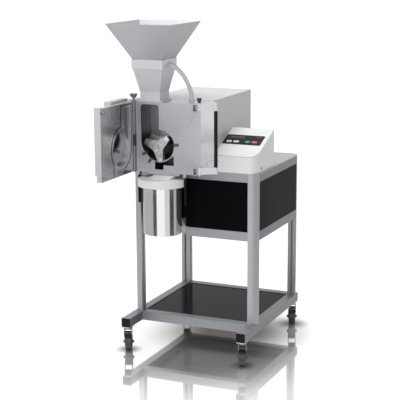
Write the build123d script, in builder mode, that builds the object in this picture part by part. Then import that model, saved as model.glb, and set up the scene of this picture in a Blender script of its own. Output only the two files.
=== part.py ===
from build123d import *
import os
from math import atan2, cos, degrees, pi, radians, sin, tan

os.makedirs("parts", exist_ok=True)

# Frame of reference: millimetres, +Z up, floor at z 0, x 0 in the middle of the frame,
# the operator's side faces -Y. front_y is the front face of the front legs.
front_y = -81.0

# Castor frame
frame_width = 596.0
frame_depth = 562.0
bar_size = 40.0
runner_overhang = 131.0
runner_base_z = 118.5
end_cap_thickness = 4.0
mid_rail_top_z = 577.0
table_top_z = 837.0
table_plate_thickness = 4.0
table_corner_radius = 40.0
cable_hole_radius = 20.0
cable_hole_x = 54.0
cable_hole_y = front_y + 300.0
top_rail_height = 36.0
leg_corner_radius = 38.0
slot_opening = 8.2
slot_lip = 4.5
slot_inner_width = 15.0
slot_depth = 10.0
panel_thickness = 4.0
panel_recess = 1.0
panel_gap = 0.2
shelf_drop = 3.0
rail_strip_thickness = 12.0

# Niche in the front panel, seen from above (x, distance behind the front face)
niche_front_corner_x = -35.8
niche_back_corner_x = -123.9
niche_depth = 150.0
niche_bend_radius = 28.0

# Cutting chamber block
chamber_left = -215.0
chamber_right = 96.0
chamber_bottom = table_top_z + 2.0
chamber_height = 305.0
chamber_top = chamber_bottom + chamber_height
chamber_front = front_y - 130.0
chamber_back = front_y + 12.0
cavity_depth = 98.0
rotor_x = -98.4
rotor_z = chamber_bottom + 116.2
cavity_radius = 70.6
chute_left = -185.0
chute_right = -100.0
chute_top = chamber_top - 11.0
chute_corner_radius = 12.0
chute_bend_top_z = rotor_z + 29.8
chute_bend_mid_x = -180.5
chute_bend_mid_z = rotor_z - 6.2
chute_bend_end_x = -158.5
chute_bend_end_z = rotor_z - 38.2
port_front = front_y - 122.0
port_back = front_y - 40.0
outlet_left = -121.0
outlet_right = -31.0
outlet_band_left = -148.0
outlet_band_right = -4.0
outlet_band_bottom = chamber_bottom - 9.0
outlet_band_top = chamber_bottom + 13.5
outlet_step_left = -80.0
outlet_step_top = chamber_bottom + 33.8

# Rotor, knives and sieve
rotor_radius = 64.7
rotor_front = front_y - 148.0
rotor_back = front_y - 34.0
rotor_tip_half_angle = 10.0
rotor_root_radius = 27.0
rotor_first_blade_angle = 40.0
rotor_chevron_angle = 14.0
rotor_bore_radius = 12.0
shaft_radius = 17.5
shaft_end_y = front_y + 395.0
bar_inner_radius = 66.0
bar_length = 26.0
bar_thickness = 13.5
bar_angles = (206.6, 234.8, 6.3)
sieve_outer_radius = 70.3
sieve_thickness = 2.0
sieve_start_angle = 241.0
sieve_end_angle = 358.0
sieve_hole_radius = 4.5

# Motor side
housing_back = front_y + 450.0
housing_wall = 3.0
flywheel_radius = 98.0
motor_radius = 80.0
motor_front = front_y + 130.0
motor_back = front_y + 390.0

# Door, drawn wide open as it rests
hinge_x = -218.6
hinge_y = front_y - 131.0
hinge_pin_radius = 5.0
knuckle_radius = 8.5
door_inner_x = -218.0
door_thickness = 22.5
door_reach = 302.0
door_bottom = chamber_bottom
door_top = chamber_top + 2.0
door_bore_radius = 76.0
door_bore_depth = 18.5
door_start = 9.5
knuckle_low_z = chamber_bottom + 83.0
knuckle_high_z = chamber_top - 122.0
seal_radius = 92.5
seal_half_width = 2.5
seal_depth = 4.0
seal_proud = 0.3
cover_depth = 32.0
edge_strip_width = 20.0
edge_strip_proud = 7.5
edge_strip_low_z = door_bottom + 28.5
edge_strip_high_z = door_top + 3.0

# Door clamp lever
clamp_x = 92.0
clamp_y = front_y - 134.3
clamp_arm_length = 69.3
clamp_rest_angle = 30.0
clamp_hub_radius = 7.5
clamp_pin_radius = 4.0
clamp_low_z = (chamber_bottom + 7.0, chamber_bottom + 35.5)
clamp_high_z = (chamber_top - 27.0, chamber_top + 6.0)
grip_radius = 7.7
grip_boss_radius = 9.7

# Hopper
hopper_x = -141.7
hopper_y = front_y - 81.7
hopper_sheet = 2.5
spout_width = 93.5
spout_depth = 90.0
collar_width = 145.5
collar_depth = 144.0
rim_width = 301.0
rim_depth = 316.0
hopper_flange_top = chamber_top + 5.6
spout_top = chamber_top + 41.6
collar_bottom = chamber_top + 143.2
collar_top = collar_bottom + 38.2
rim_z = collar_top + 153.5

# Collecting vessel and its lid
vessel_x = -96.6
vessel_y = front_y - 110.0
vessel_radius = 83.5
vessel_wall = 1.5
lid_radius = 105.5
lid_top = chamber_bottom - 25.2
lid_bottom = lid_top - 32.3
lid_plate_z = lid_top - 9.8
vessel_bottom = lid_plate_z - 235.3
lid_mouth_radius = 58.0
latch_offset = 110.9
latch_pivot_z = chamber_bottom - 11.0
latch_tip_z = latch_pivot_z - 131.0
latch_pad_gap = 0.3
latch_half_width = 6.0

# Control box
box_left = 97.0
box_right = 295.0
box_front = front_y
box_back = front_y + 222.0
box_front_height = 72.5
box_slope = 22.1
box_wall = 2.5
box_corner_radius = 40.0
keypad_left = 99.0
keypad_right = 277.5
keypad_near = 90.0
keypad_far = 163.0
keypad_thickness = 1.0

# Castors
castor_height = 118.5
castor_x = frame_width / 2 - bar_size / 2
castor_front_y = front_y - 107.0
castor_rear_inset = 24.0
castor_rear_y = front_y + frame_depth - castor_rear_inset
castor_trail = 22.0
castor_heading = 112.0
wheel_radius = 37.5
wheel_half_width = 14.5
kingpin_radius = 5.0
running_fit = 0.05


def block(x_low, x_high, y_low, y_high, z_low, z_high, mode=Mode.ADD):
    middle = ((x_low + x_high) / 2, (y_low + y_high) / 2, (z_low + z_high) / 2)
    with Locations(middle):
        Box(x_high - x_low, y_high - y_low, z_high - z_low, mode=mode)


def post(x, y, z_low, z_high, radius, mode=Mode.ADD):
    with Locations((x, y, (z_low + z_high) / 2)):
        Cylinder(radius, z_high - z_low, mode=mode)


def rod_along_y(x, z, y_low, y_high, radius, mode=Mode.ADD):
    with Locations((x, (y_low + y_high) / 2, z)):
        Cylinder(radius, y_high - y_low, rotation=(90, 0, 0), mode=mode)


def rod_along_x(y, z, x_low, x_high, radius, mode=Mode.ADD):
    with Locations(((x_low + x_high) / 2, y, z)):
        Cylinder(radius, x_high - x_low, rotation=(0, 90, 0), mode=mode)


def save(builder, label):
    builder.part.label = label
    export_step(builder.part, f"parts/{label}.step")


# ---------------------------------------------------------------- castor frame
half_width = frame_width / 2
inner_x = half_width - bar_size
frame_front = front_y
frame_back = front_y + frame_depth
inner_front = frame_front + bar_size
inner_back = frame_back - bar_size
runner_top_z = runner_base_z + bar_size
runner_front = frame_front - runner_overhang
rail_bottom_z = table_top_z - table_plate_thickness - top_rail_height
mid_rail_bottom_z = mid_rail_top_z - bar_size
plate_bottom_z = table_top_z - table_plate_thickness


def slot_groove(face_x, face_y, inward_x, inward_y, z_low, z_high):
    """Cut one lengthwise slot: a narrow mouth and a wider inner groove."""
    for start, end, width in ((0.0, slot_lip, slot_opening), (slot_lip, slot_depth, slot_inner_width)):
        if inward_x != 0:
            near_x = face_x + inward_x * start
            far_x = face_x + inward_x * end
            block(
                min(near_x, far_x), max(near_x, far_x),
                face_y - width / 2, face_y + width / 2, z_low, z_high, mode=Mode.SUBTRACT,
            )
        else:
            near_y = face_y + inward_y * start
            far_y = face_y + inward_y * end
            block(
                face_x - width / 2, face_x + width / 2,
                min(near_y, far_y), max(near_y, far_y), z_low, z_high, mode=Mode.SUBTRACT,
            )


with BuildPart() as base_frame:
    for side in (-1, 1):
        block(
            side * castor_x - bar_size / 2, side * castor_x + bar_size / 2,
            runner_front + end_cap_thickness, frame_back - end_cap_thickness,
            runner_base_z, runner_top_z,
        )
    for bar_front in (frame_front, inner_back):
        block(-inner_x, inner_x, bar_front, bar_front + bar_size, runner_base_z, runner_top_z)
save(base_frame, "base_frame")

with BuildPart() as end_caps:
    for side in (-1, 1):
        for cap_y in (runner_front, frame_back - end_cap_thickness):
            block(
                side * castor_x - bar_size / 2, side * castor_x + bar_size / 2,
                cap_y, cap_y + end_cap_thickness, runner_base_z, runner_top_z,
            )
save(end_caps, "end_caps")

with BuildPart() as legs:
    for side_x in (-1, 1):
        for side_y in (-1, 1):
            leg_x = side_x * castor_x
            leg_y = (frame_front + bar_size / 2) if side_y < 0 else (frame_back - bar_size / 2)
            with BuildSketch(Plane.XY.offset(runner_top_z)):
                with Locations((leg_x, leg_y)):
                    Rectangle(bar_size, bar_size)
                with Locations((leg_x + side_x * bar_size / 2, leg_y + side_y * bar_size / 2)):
                    Rectangle(2 * leg_corner_radius, 2 * leg_corner_radius, mode=Mode.SUBTRACT)
                curve_x = leg_x + side_x * (bar_size / 2 - leg_corner_radius)
                curve_y = leg_y + side_y * (bar_size / 2 - leg_corner_radius)
                quarter_x = curve_x + side_x * leg_corner_radius
                quarter_y = curve_y + side_y * leg_corner_radius
                middle_x = curve_x + side_x * leg_corner_radius * cos(pi / 4)
                middle_y = curve_y + side_y * leg_corner_radius * sin(pi / 4)
                with BuildLine():
                    Line((curve_x, curve_y), (quarter_x, curve_y))
                    ThreePointArc((quarter_x, curve_y), (middle_x, middle_y), (curve_x, quarter_y))
                    Line((curve_x, quarter_y), (curve_x, curve_y))
                make_face()
            extrude(amount=plate_bottom_z - runner_top_z)
            slot_groove(leg_x - side_x * bar_size / 2, leg_y, side_x, 0, runner_top_z, plate_bottom_z)
            slot_groove(leg_x, leg_y - side_y * bar_size / 2, 0, side_y, runner_top_z, plate_bottom_z)
save(legs, "legs")


def niche_path(inset, end_x):
    """Front face of the niche, moved back by inset, from the right leg to end_x."""
    turn = atan2(niche_depth, niche_front_corner_x - niche_back_corner_x)
    shift = inset * tan(turn / 2)
    corners = (
        (inner_x, frame_front + inset),
        (niche_front_corner_x + shift, frame_front + inset),
        (niche_back_corner_x + shift, frame_front + niche_depth + inset),
        (end_x, frame_front + niche_depth + inset),
    )
    radii = (niche_bend_radius + inset, niche_bend_radius - inset)
    return corners, radii


def niche_strip(inset, thickness, end_x, z_low, z_high):
    """A bent strip standing on edge along the niche."""
    front_corners, front_radii = niche_path(inset, end_x)
    back_corners, back_radii = niche_path(inset + thickness, end_x)
    with BuildSketch(Plane.XY.offset(z_low)) as strip:
        with BuildLine():
            FilletPolyline(*front_corners, radius=list(front_radii))
            Line(front_corners[-1], back_corners[-1])
            FilletPolyline(*reversed(back_corners), radius=list(reversed(back_radii)))
            Line(back_corners[0], front_corners[0])
        make_face()
    extrude(strip.sketch, amount=z_high - z_low)


with BuildPart() as mid_rails:
    for side in (-1, 1):
        block(
            side * castor_x - bar_size / 2, side * castor_x + bar_size / 2,
            inner_front, inner_back, mid_rail_bottom_z, mid_rail_top_z,
        )
    block(-inner_x, inner_x, inner_back, frame_back, mid_rail_bottom_z, mid_rail_top_z)
    niche_strip(0.0, rail_strip_thickness, -inner_x, mid_rail_bottom_z, mid_rail_top_z)
save(mid_rails, "mid_rails")

with BuildPart() as top_rails:
    for side in (-1, 1):
        block(
            side * castor_x - bar_size / 2, side * castor_x + bar_size / 2,
            inner_front, inner_back, rail_bottom_z, plate_bottom_z,
        )
    for bar_front in (frame_front, inner_back):
        block(-inner_x, inner_x, bar_front, bar_front + bar_size, rail_bottom_z, plate_bottom_z)
save(top_rails, "top_rails")

with BuildPart() as shelf_panel:
    shelf_top_z = runner_top_z - shelf_drop
    block(
        -inner_x + panel_gap, inner_x - panel_gap, inner_front + panel_gap, inner_back - panel_gap,
        shelf_top_z - panel_thickness, shelf_top_z,
    )
save(shelf_panel, "shelf_panel")

with BuildPart() as front_panel:
    niche_strip(
        panel_recess, panel_thickness, -half_width + panel_recess + panel_thickness + panel_gap,
        mid_rail_top_z, rail_bottom_z - panel_gap,
    )
save(front_panel, "front_panel")

with BuildPart() as side_panels:
    for side in (-1, 1):
        outer = side * (half_width - panel_recess)
        inner = side * (half_width - panel_recess - panel_thickness)
        block(
            min(outer, inner), max(outer, inner), inner_front + panel_gap, inner_back - panel_gap,
            mid_rail_top_z, rail_bottom_z - panel_gap,
        )
    block(
        -inner_x + panel_gap, inner_x - panel_gap,
        frame_back - panel_recess - panel_thickness, frame_back - panel_recess,
        mid_rail_top_z, rail_bottom_z - panel_gap,
    )
save(side_panels, "side_panels")

with BuildPart() as table_top:
    with BuildSketch(Plane.XY.offset(plate_bottom_z)):
        with Locations((0, front_y + frame_depth / 2)):
            RectangleRounded(frame_width, frame_depth, table_corner_radius)
    extrude(amount=table_plate_thickness)
    post(
        cable_hole_x, cable_hole_y, plate_bottom_z - 1, table_top_z + 1,
        cable_hole_radius, mode=Mode.SUBTRACT,
    )
save(table_top, "table_top")

# -------------------------------------------------------------------- castors
castor_spots = {
    "front_left": (-castor_x, castor_front_y),
    "front_right": (castor_x, castor_front_y),
    "rear_left": (-castor_x, castor_rear_y),
    "rear_right": (castor_x, castor_rear_y),
}
mount_plate_thickness = 3.0
race_radius = 17.0
race_bottom_z = 109.0
crown_top_z = 108.7
crown_bottom_z = 105.7
kingpin_head_z = 102.4
fork_inner_half = wheel_half_width + 1.0
fork_sheet = 2.5
axle_radius = 4.0
axle_nut_radius = 6.5
axle_half_length = 25.0
pedal_pivot_back = -12.0
pedal_pivot_z = 92.0
pedal_pin_radius = 2.5
pedal_reach = 30.0
pedal_half_width = 13.5

with BuildPart() as castor_plates:
    for spot_x, spot_y in castor_spots.values():
        block(
            spot_x - 19, spot_x + 19, spot_y - 23, spot_y + 23,
            castor_height - mount_plate_thickness, castor_height,
        )
        post(spot_x, spot_y, race_bottom_z, castor_height - mount_plate_thickness, race_radius)
        post(spot_x, spot_y, kingpin_head_z, race_bottom_z, kingpin_radius)
        post(spot_x, spot_y, kingpin_head_z, crown_bottom_z - 0.3, kingpin_radius + 3)
save(castor_plates, "castor_plates")


def castor_plane(spot):
    heading = radians(castor_heading)
    return Plane(origin=(spot[0], spot[1], 0), x_dir=(cos(heading), sin(heading), 0), z_dir=(0, 0, 1))


def castor_side_plane(spot, distance):
    """Upright plane along the wheel's heading, moved sideways by distance."""
    heading = radians(castor_heading)
    along = (cos(heading), sin(heading), 0)
    across = (sin(heading), -cos(heading), 0)
    return Plane(origin=(spot[0], spot[1], 0), x_dir=along, z_dir=across).offset(distance)


def build_fork(spot, label):
    with BuildPart(castor_plane(spot)) as fork:
        fork_outer_half = fork_inner_half + fork_sheet
        block(-18, 18, -fork_outer_half, fork_outer_half, crown_bottom_z, crown_top_z)
        for start in (-fork_outer_half, fork_inner_half):
            with BuildSketch(castor_side_plane(spot, start)):
                with BuildLine():
                    Polyline(
                        (-18, crown_top_z), (18, crown_top_z), (32, wheel_radius + 6), (32, wheel_radius - 4),
                        (27, wheel_radius - 9), (17, wheel_radius - 9), (12, wheel_radius - 4),
                        (12, wheel_radius + 12), (-18, pedal_pivot_z - 8), (-18, crown_top_z),
                    )
                make_face()
            extrude(amount=fork_sheet)
        post(0, 0, crown_bottom_z - 1, crown_top_z + 1, kingpin_radius + running_fit, mode=Mode.SUBTRACT)
        with Locations((castor_trail, 0, wheel_radius)):
            Cylinder(axle_radius, 2 * axle_half_length, rotation=(90, 0, 0))
        for side in (-1, 1):
            with Locations((castor_trail, side * (fork_outer_half + 2.5), wheel_radius)):
                Cylinder(axle_nut_radius, 5, rotation=(90, 0, 0))
        with Locations((pedal_pivot_back, 0, pedal_pivot_z)):
            Cylinder(
                pedal_pin_radius + running_fit, 2 * fork_outer_half + 2,
                rotation=(90, 0, 0), mode=Mode.SUBTRACT,
            )
    save(fork, label)


def build_wheel(spot, label):
    with BuildPart(castor_plane(spot)) as wheel:
        with Locations((castor_trail, 0, wheel_radius)):
            Cylinder(wheel_radius, 2 * wheel_half_width, rotation=(90, 0, 0))
            rims = wheel.edges().filter_by(GeomType.CIRCLE)
            fillet(rims, radius=4)
            Cylinder(10, 2 * fork_inner_half - 0.4, rotation=(90, 0, 0))
            Cylinder(axle_radius + running_fit, 60, rotation=(90, 0, 0), mode=Mode.SUBTRACT)
        for side in (-1, 1):
            with Locations((castor_trail, side * (wheel_half_width - 2), wheel_radius)):
                Cylinder(24, 4.01, rotation=(90, 0, 0), mode=Mode.SUBTRACT)
                Cylinder(10, 4.01, rotation=(90, 0, 0))
        with Locations((castor_trail, 0, wheel_radius)):
            Cylinder(axle_radius + running_fit, 60, rotation=(90, 0, 0), mode=Mode.SUBTRACT)
    save(wheel, label)


def build_pedal(spot, label):
    with BuildPart(castor_plane(spot)) as pedal:
        with BuildSketch(castor_side_plane(spot, -pedal_half_width)):
            with Locations((pedal_pivot_back, pedal_pivot_z)):
                Circle(6.5)
            with BuildLine():
                Polyline(
                    (pedal_pivot_back + 2, pedal_pivot_z + 6), (pedal_pivot_back - 8, pedal_pivot_z + 5),
                    (pedal_pivot_back - pedal_reach, pedal_pivot_z + 11),
                    (pedal_pivot_back - pedal_reach - 2, pedal_pivot_z + 6),
                    (pedal_pivot_back - 8, pedal_pivot_z - 5), (pedal_pivot_back + 2, pedal_pivot_z - 6),
                    (pedal_pivot_back + 2, pedal_pivot_z + 6),
                )
            make_face()
        extrude(amount=2 * pedal_half_width)
        with Locations((pedal_pivot_back, 0, pedal_pivot_z)):
            Cylinder(pedal_pin_radius, 2 * (fork_inner_half + fork_sheet), rotation=(90, 0, 0))
    save(pedal, label)


for spot_name, spot in castor_spots.items():
    build_fork(spot, f"castor_fork_{spot_name}")
    build_wheel(spot, f"castor_wheel_{spot_name}")
    build_pedal(spot, f"brake_pedal_{spot_name}")

# ------------------------------------------------------------ cutting chamber
fit_gap = 0.1
chamber_hole_radius = 25.0
bearing_outer_radius = 31.0
seal_back_y = front_y - 24.0
cavity_back_y = chamber_front + cavity_depth
hinge_relief_radius = 9.8
clamp_relief_left = 83.0
clamp_relief_back = front_y - 117.0
clamp_relief_low = (clamp_low_z[0] - 1.5, clamp_low_z[1] + 1.8)
clamp_relief_high = (clamp_high_z[0] - 1.5, clamp_high_z[1] + 1.0)
lug_edge_distance = 15.0
lug_socket_x = hinge_x + door_reach - lug_edge_distance
lug_socket_half_width = 8.0
lug_socket_depth = 20.0
lug_socket_low = (chamber_bottom + 3.0, chamber_bottom + 29.0)
lug_socket_high = (chamber_top - 30.0, chamber_top - 3.0)
foot_height = chamber_bottom - table_top_z


with BuildSketch(Plane.XZ.offset(-chamber_front)) as cavity_section:
    with Locations((rotor_x, rotor_z)):
        Circle(cavity_radius)
    with BuildLine():
        corner = chute_corner_radius
        Line((chute_bend_end_x, chute_bend_end_z), (rotor_x, rotor_z))
        Line((rotor_x, rotor_z), (chute_right, rotor_z + 40))
        Line((chute_right, rotor_z + 40), (chute_right, chute_top - corner))
        RadiusArc((chute_right, chute_top - corner), (chute_right - corner, chute_top), -corner)
        Line((chute_right - corner, chute_top), (chute_left + corner, chute_top))
        RadiusArc((chute_left + corner, chute_top), (chute_left, chute_top - corner), -corner)
        Line((chute_left, chute_top - corner), (chute_left, chute_bend_top_z))
        ThreePointArc(
            (chute_left, chute_bend_top_z), (chute_bend_mid_x, chute_bend_mid_z),
            (chute_bend_end_x, chute_bend_end_z),
        )
    make_face()


def bar_placing(angle):
    """Middle of a cutting bar at this angle round the rotor axis."""
    middle_radius = bar_inner_radius + bar_length / 2
    turn = radians(angle)
    return rotor_x + middle_radius * cos(turn), rotor_z + middle_radius * sin(turn)


with BuildPart() as chamber_block:
    block(chamber_left, chamber_right, chamber_front, chamber_back, chamber_bottom, chamber_top)
    extrude(cavity_section.sketch, amount=-cavity_depth, mode=Mode.SUBTRACT)
    for angle in bar_angles:
        middle_x, middle_z = bar_placing(angle)
        with BuildSketch(Plane.XZ.offset(-chamber_front)):
            with Locations(Location((middle_x, middle_z), angle)):
                Rectangle(bar_length + 2 * fit_gap, bar_thickness + 2 * fit_gap)
        extrude(amount=-cavity_depth, mode=Mode.SUBTRACT)
    block(chute_left, chute_right, port_front, port_back, chute_top - 20, chamber_top + 1, mode=Mode.SUBTRACT)
    block(
        outlet_band_left, outlet_band_right, chamber_front - 1, port_front,
        chamber_bottom - 1, outlet_band_top, mode=Mode.SUBTRACT,
    )
    block(
        outlet_left, outlet_right, chamber_front - 1, port_front,
        outlet_band_top - 1, rotor_z - 40, mode=Mode.SUBTRACT,
    )
    block(outlet_left, outlet_right, port_front - 1, port_back, chamber_bottom - 1, rotor_z - 40, mode=Mode.SUBTRACT)
    rod_along_y(rotor_x, rotor_z, cavity_back_y - 1, chamber_back + 1, chamber_hole_radius, mode=Mode.SUBTRACT)
    rod_along_y(rotor_x, rotor_z, seal_back_y, chamber_back + 1, bearing_outer_radius, mode=Mode.SUBTRACT)
    post(hinge_x, hinge_y, chamber_bottom - 1, chamber_top + 1, hinge_relief_radius, mode=Mode.SUBTRACT)
    for relief_low, relief_high in (clamp_relief_low, clamp_relief_high):
        block(
            clamp_relief_left, chamber_right + 1, chamber_front - 1, clamp_relief_back,
            relief_low, relief_high, mode=Mode.SUBTRACT,
        )
    for socket_low, socket_high in (lug_socket_low, lug_socket_high):
        block(
            lug_socket_x - lug_socket_half_width, lug_socket_x + lug_socket_half_width,
            chamber_front - 1, chamber_front + lug_socket_depth, socket_low, socket_high, mode=Mode.SUBTRACT,
        )
    block(chamber_left + 5, chamber_right, front_y + 1, chamber_back, table_top_z, chamber_bottom)
save(chamber_block, "chamber_block")

with BuildPart() as cutting_bars:
    for angle in bar_angles:
        middle_x, middle_z = bar_placing(angle)
        with BuildSketch(Plane.XZ.offset(-chamber_front)):
            with Locations(Location((middle_x, middle_z), angle)):
                Rectangle(bar_length, bar_thickness)
        extrude(amount=-cavity_depth)
save(cutting_bars, "cutting_bars")

with BuildPart() as sieve:
    sieve_inner_radius = sieve_outer_radius - sieve_thickness
    with BuildSketch(Plane.XZ.offset(-chamber_front - 0.5)):
        with Locations((rotor_x, rotor_z)):
            Circle(sieve_outer_radius)
            Circle(sieve_inner_radius, mode=Mode.SUBTRACT)
        with BuildLine():
            wedge = 2 * sieve_outer_radius
            centre = (rotor_x, rotor_z)
            wedge_points = [centre]
            for angle in (sieve_start_angle, (sieve_start_angle + sieve_end_angle) / 2, sieve_end_angle):
                turn = radians(angle)
                wedge_points.append((rotor_x + wedge * cos(turn), rotor_z + wedge * sin(turn)))
            Polyline(*wedge_points, centre)
        make_face(mode=Mode.INTERSECT)
    extrude(amount=-(cavity_depth - 1))
    hole_rows = 6
    hole_columns = 7
    for row in range(hole_rows):
        angle = 258.0 + row * 14.0
        for column in range(hole_columns):
            hole_y = chamber_front + 14 + column * 12
            with Locations(Location((rotor_x, hole_y, rotor_z), (0, 90 - angle, 0))):
                with Locations((0, 0, sieve_outer_radius)):
                    Cylinder(sieve_hole_radius, 8, mode=Mode.SUBTRACT)
save(sieve, "sieve")

funnel_wall = 3.0
with BuildPart() as outlet_flange:
    block(
        outlet_band_left, outlet_band_right, chamber_front, port_back + 6,
        outlet_band_bottom, chamber_bottom,
    )
    block(
        outlet_band_left + fit_gap, outlet_band_right - fit_gap, chamber_front, port_front - fit_gap,
        chamber_bottom, outlet_band_top - fit_gap,
    )
    block(
        outlet_step_left, outlet_right - fit_gap, chamber_front, port_front - fit_gap,
        outlet_band_top - 1, outlet_step_top,
    )
    outlet_centre_x = (outlet_left + outlet_right) / 2
    outlet_centre_y = (port_front + port_back) / 2
    outlet_width = outlet_right - outlet_left
    outlet_length = port_back - port_front
    funnel_bottom_z = lid_top + 0.2
    with BuildSketch(Plane.XY.offset(outlet_band_bottom)):
        with Locations((outlet_centre_x, outlet_centre_y)):
            Rectangle(outlet_width + 2 * funnel_wall, outlet_length + 2 * funnel_wall)
    with BuildSketch(Plane.XY.offset(funnel_bottom_z)):
        with Locations((vessel_x, vessel_y)):
            RectangleRounded(2 * lid_mouth_radius, 2 * lid_mouth_radius, lid_mouth_radius - 6)
    loft(ruled=True)
    with BuildSketch(Plane.XY.offset(outlet_band_bottom)):
        with Locations((outlet_centre_x, outlet_centre_y)):
            Rectangle(outlet_width, outlet_length)
    with BuildSketch(Plane.XY.offset(funnel_bottom_z)):
        with Locations((vessel_x, vessel_y)):
            RectangleRounded(
                2 * (lid_mouth_radius - funnel_wall), 2 * (lid_mouth_radius - funnel_wall),
                lid_mouth_radius - funnel_wall - 6,
            )
    loft(ruled=True, mode=Mode.SUBTRACT)
    block(outlet_left, outlet_right, port_front, port_back, outlet_band_bottom - 0.1, chamber_bottom + 1, mode=Mode.SUBTRACT)
save(outlet_flange, "outlet_flange")

# --------------------------------------------------- rotor and what turns with it
seal_front_y = front_y - 32.0
bearing_spots = ((front_y - 23.8, front_y - 9.0), (front_y - 5.0, front_y + 10.0))
rotor_screw_head_radius = 15.0
rotor_screw_head_height = 7.0
rotor_counterbore_depth = 9.0
rotor_counterbore_radius = 16.0
rotor_screw_radius = 5.0
rotor_seat_y = rotor_front + rotor_counterbore_depth
flywheel_front = front_y + 35.0
flywheel_back = front_y + 75.0


def rotor_section(y, twist):
    """Three-bladed star section at y, turned by twist degrees about the rotor axis."""
    points = []
    for blade in range(3):
        middle = rotor_first_blade_angle + blade * 120 + twist
        for offset in (-rotor_tip_half_angle, rotor_tip_half_angle):
            turn = radians(middle + offset)
            points.append((rotor_x + rotor_radius * cos(turn), rotor_z + rotor_radius * sin(turn)))
        turn = radians(middle + 60)
        points.append((rotor_x + rotor_root_radius * cos(turn), rotor_z + rotor_root_radius * sin(turn)))
    with BuildSketch(Plane.XZ.offset(-y)) as section:
        with BuildLine():
            Polyline(*points, points[0])
        make_face()
    return section.sketch


with BuildPart() as rotor:
    rotor_middle = (rotor_front + rotor_back) / 2
    for start_y, start_twist, end_y, end_twist in (
        (rotor_front, 0.0, rotor_middle, -rotor_chevron_angle),
        (rotor_middle, -rotor_chevron_angle, rotor_back, 0.0),
    ):
        loft([rotor_section(start_y, start_twist), rotor_section(end_y, end_twist)], ruled=True)
    rod_along_y(rotor_x, rotor_z, rotor_front - 1, rotor_back + 1, rotor_bore_radius + 0.02, mode=Mode.SUBTRACT)
    rod_along_y(rotor_x, rotor_z, rotor_front - 1, rotor_seat_y, rotor_counterbore_radius, mode=Mode.SUBTRACT)
save(rotor, "rotor")

with BuildPart() as rotor_screw:
    rod_along_y(rotor_x, rotor_z, rotor_seat_y - rotor_screw_head_height, rotor_seat_y, rotor_screw_head_radius)
    rod_along_y(rotor_x, rotor_z, rotor_seat_y, rotor_seat_y + 24, rotor_screw_radius)
    with BuildSketch(Plane.XZ.offset(-(rotor_seat_y - rotor_screw_head_height))):
        with Locations((rotor_x, rotor_z)):
            RegularPolygon(radius=5.5, side_count=6)
    extrude(amount=-4, mode=Mode.SUBTRACT)
save(rotor_screw, "rotor_screw")

core_radius = 50.0
core_front = motor_front + 22.0
core_back = motor_back - 22.0
with BuildPart() as drive_shaft:
    rod_along_y(rotor_x, rotor_z, rotor_seat_y, rotor_back, rotor_bore_radius)
    rod_along_y(rotor_x, rotor_z, rotor_back, shaft_end_y, shaft_radius)
    rod_along_y(rotor_x, rotor_z, core_front, core_back, core_radius)
    rod_along_y(
        rotor_x, rotor_z, rotor_seat_y - 1, rotor_seat_y + 25,
        rotor_screw_radius + running_fit, mode=Mode.SUBTRACT,
    )
save(drive_shaft, "drive_shaft")

with BuildPart() as flywheel:
    rod_along_y(rotor_x, rotor_z, flywheel_front, flywheel_back, flywheel_radius)
    rod_along_y(rotor_x, rotor_z, flywheel_front - 1, flywheel_front + 12, flywheel_radius - 22, mode=Mode.SUBTRACT)
    rod_along_y(rotor_x, rotor_z, flywheel_back - 12, flywheel_back + 1, flywheel_radius - 22, mode=Mode.SUBTRACT)
    rod_along_y(rotor_x, rotor_z, flywheel_front, flywheel_back, 32)
    rod_along_y(rotor_x, rotor_z, flywheel_front - 1, flywheel_back + 1, shaft_radius + 0.02, mode=Mode.SUBTRACT)
save(flywheel, "flywheel")

with BuildPart() as shaft_bearings:
    for bearing_start, bearing_end in bearing_spots:
        rod_along_y(rotor_x, rotor_z, bearing_start, bearing_end, bearing_outer_radius - running_fit)
        rod_along_y(
            rotor_x, rotor_z, bearing_start - 0.5, bearing_end + 0.5,
            shaft_radius + running_fit, mode=Mode.SUBTRACT,
        )
save(shaft_bearings, "shaft_bearings")

with BuildPart() as shaft_seal:
    rod_along_y(rotor_x, rotor_z, seal_front_y + 0.2, seal_back_y - 0.2, chamber_hole_radius - running_fit)
    rod_along_y(rotor_x, rotor_z, seal_front_y - 1, seal_back_y + 1, shaft_radius + running_fit, mode=Mode.SUBTRACT)
save(shaft_seal, "shaft_seal")

with BuildPart() as motor_body:
    rod_along_y(rotor_x, rotor_z, motor_front, motor_back, motor_radius)
    block(
        rotor_x - 60, rotor_x + 60, motor_front + 20, motor_back - 20,
        table_top_z, rotor_z - motor_radius + 12,
    )
    rod_along_y(rotor_x, rotor_z, motor_front + 14, motor_back - 14, core_radius + 1, mode=Mode.SUBTRACT)
    rod_along_y(rotor_x, rotor_z, motor_front - 1, motor_back + 1, shaft_radius + running_fit, mode=Mode.SUBTRACT)
save(motor_body, "motor_body")

with BuildPart() as motor_housing:
    block(chamber_left, chamber_right, chamber_back, housing_back, table_top_z, chamber_top)
    back_edges = motor_housing.edges().filter_by(Axis.Z).group_by(Axis.Y)[-1]
    fillet(back_edges, radius=6)
    block(
        chamber_left + housing_wall, chamber_right - housing_wall,
        chamber_back - 1, housing_back - housing_wall, table_top_z - 1, chamber_top - housing_wall,
        mode=Mode.SUBTRACT,
    )
    louvre_width = 90.0
    for column in (-1, 1):
        for row in range(8):
            louvre_x = (chamber_left + chamber_right) / 2 + column * 62
            louvre_z = 900 + row * 24
            block(
                louvre_x - louvre_width / 2, louvre_x + louvre_width / 2,
                housing_back - 10, housing_back + 1, louvre_z, louvre_z + 7, mode=Mode.SUBTRACT,
            )
save(motor_housing, "motor_housing")

# ----------------------------------------------------------------- door parts
door_outer_x = door_inner_x - door_thickness
door_free_y = hinge_y - door_reach
lug_protrusion = 14.0
lug_half_width = 5.0
lug_half_height = 8.0
recess_depth = 10.0
recess_left = -176.0
recess_right = -125.0
recess_top = chute_top - 8.0


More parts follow.
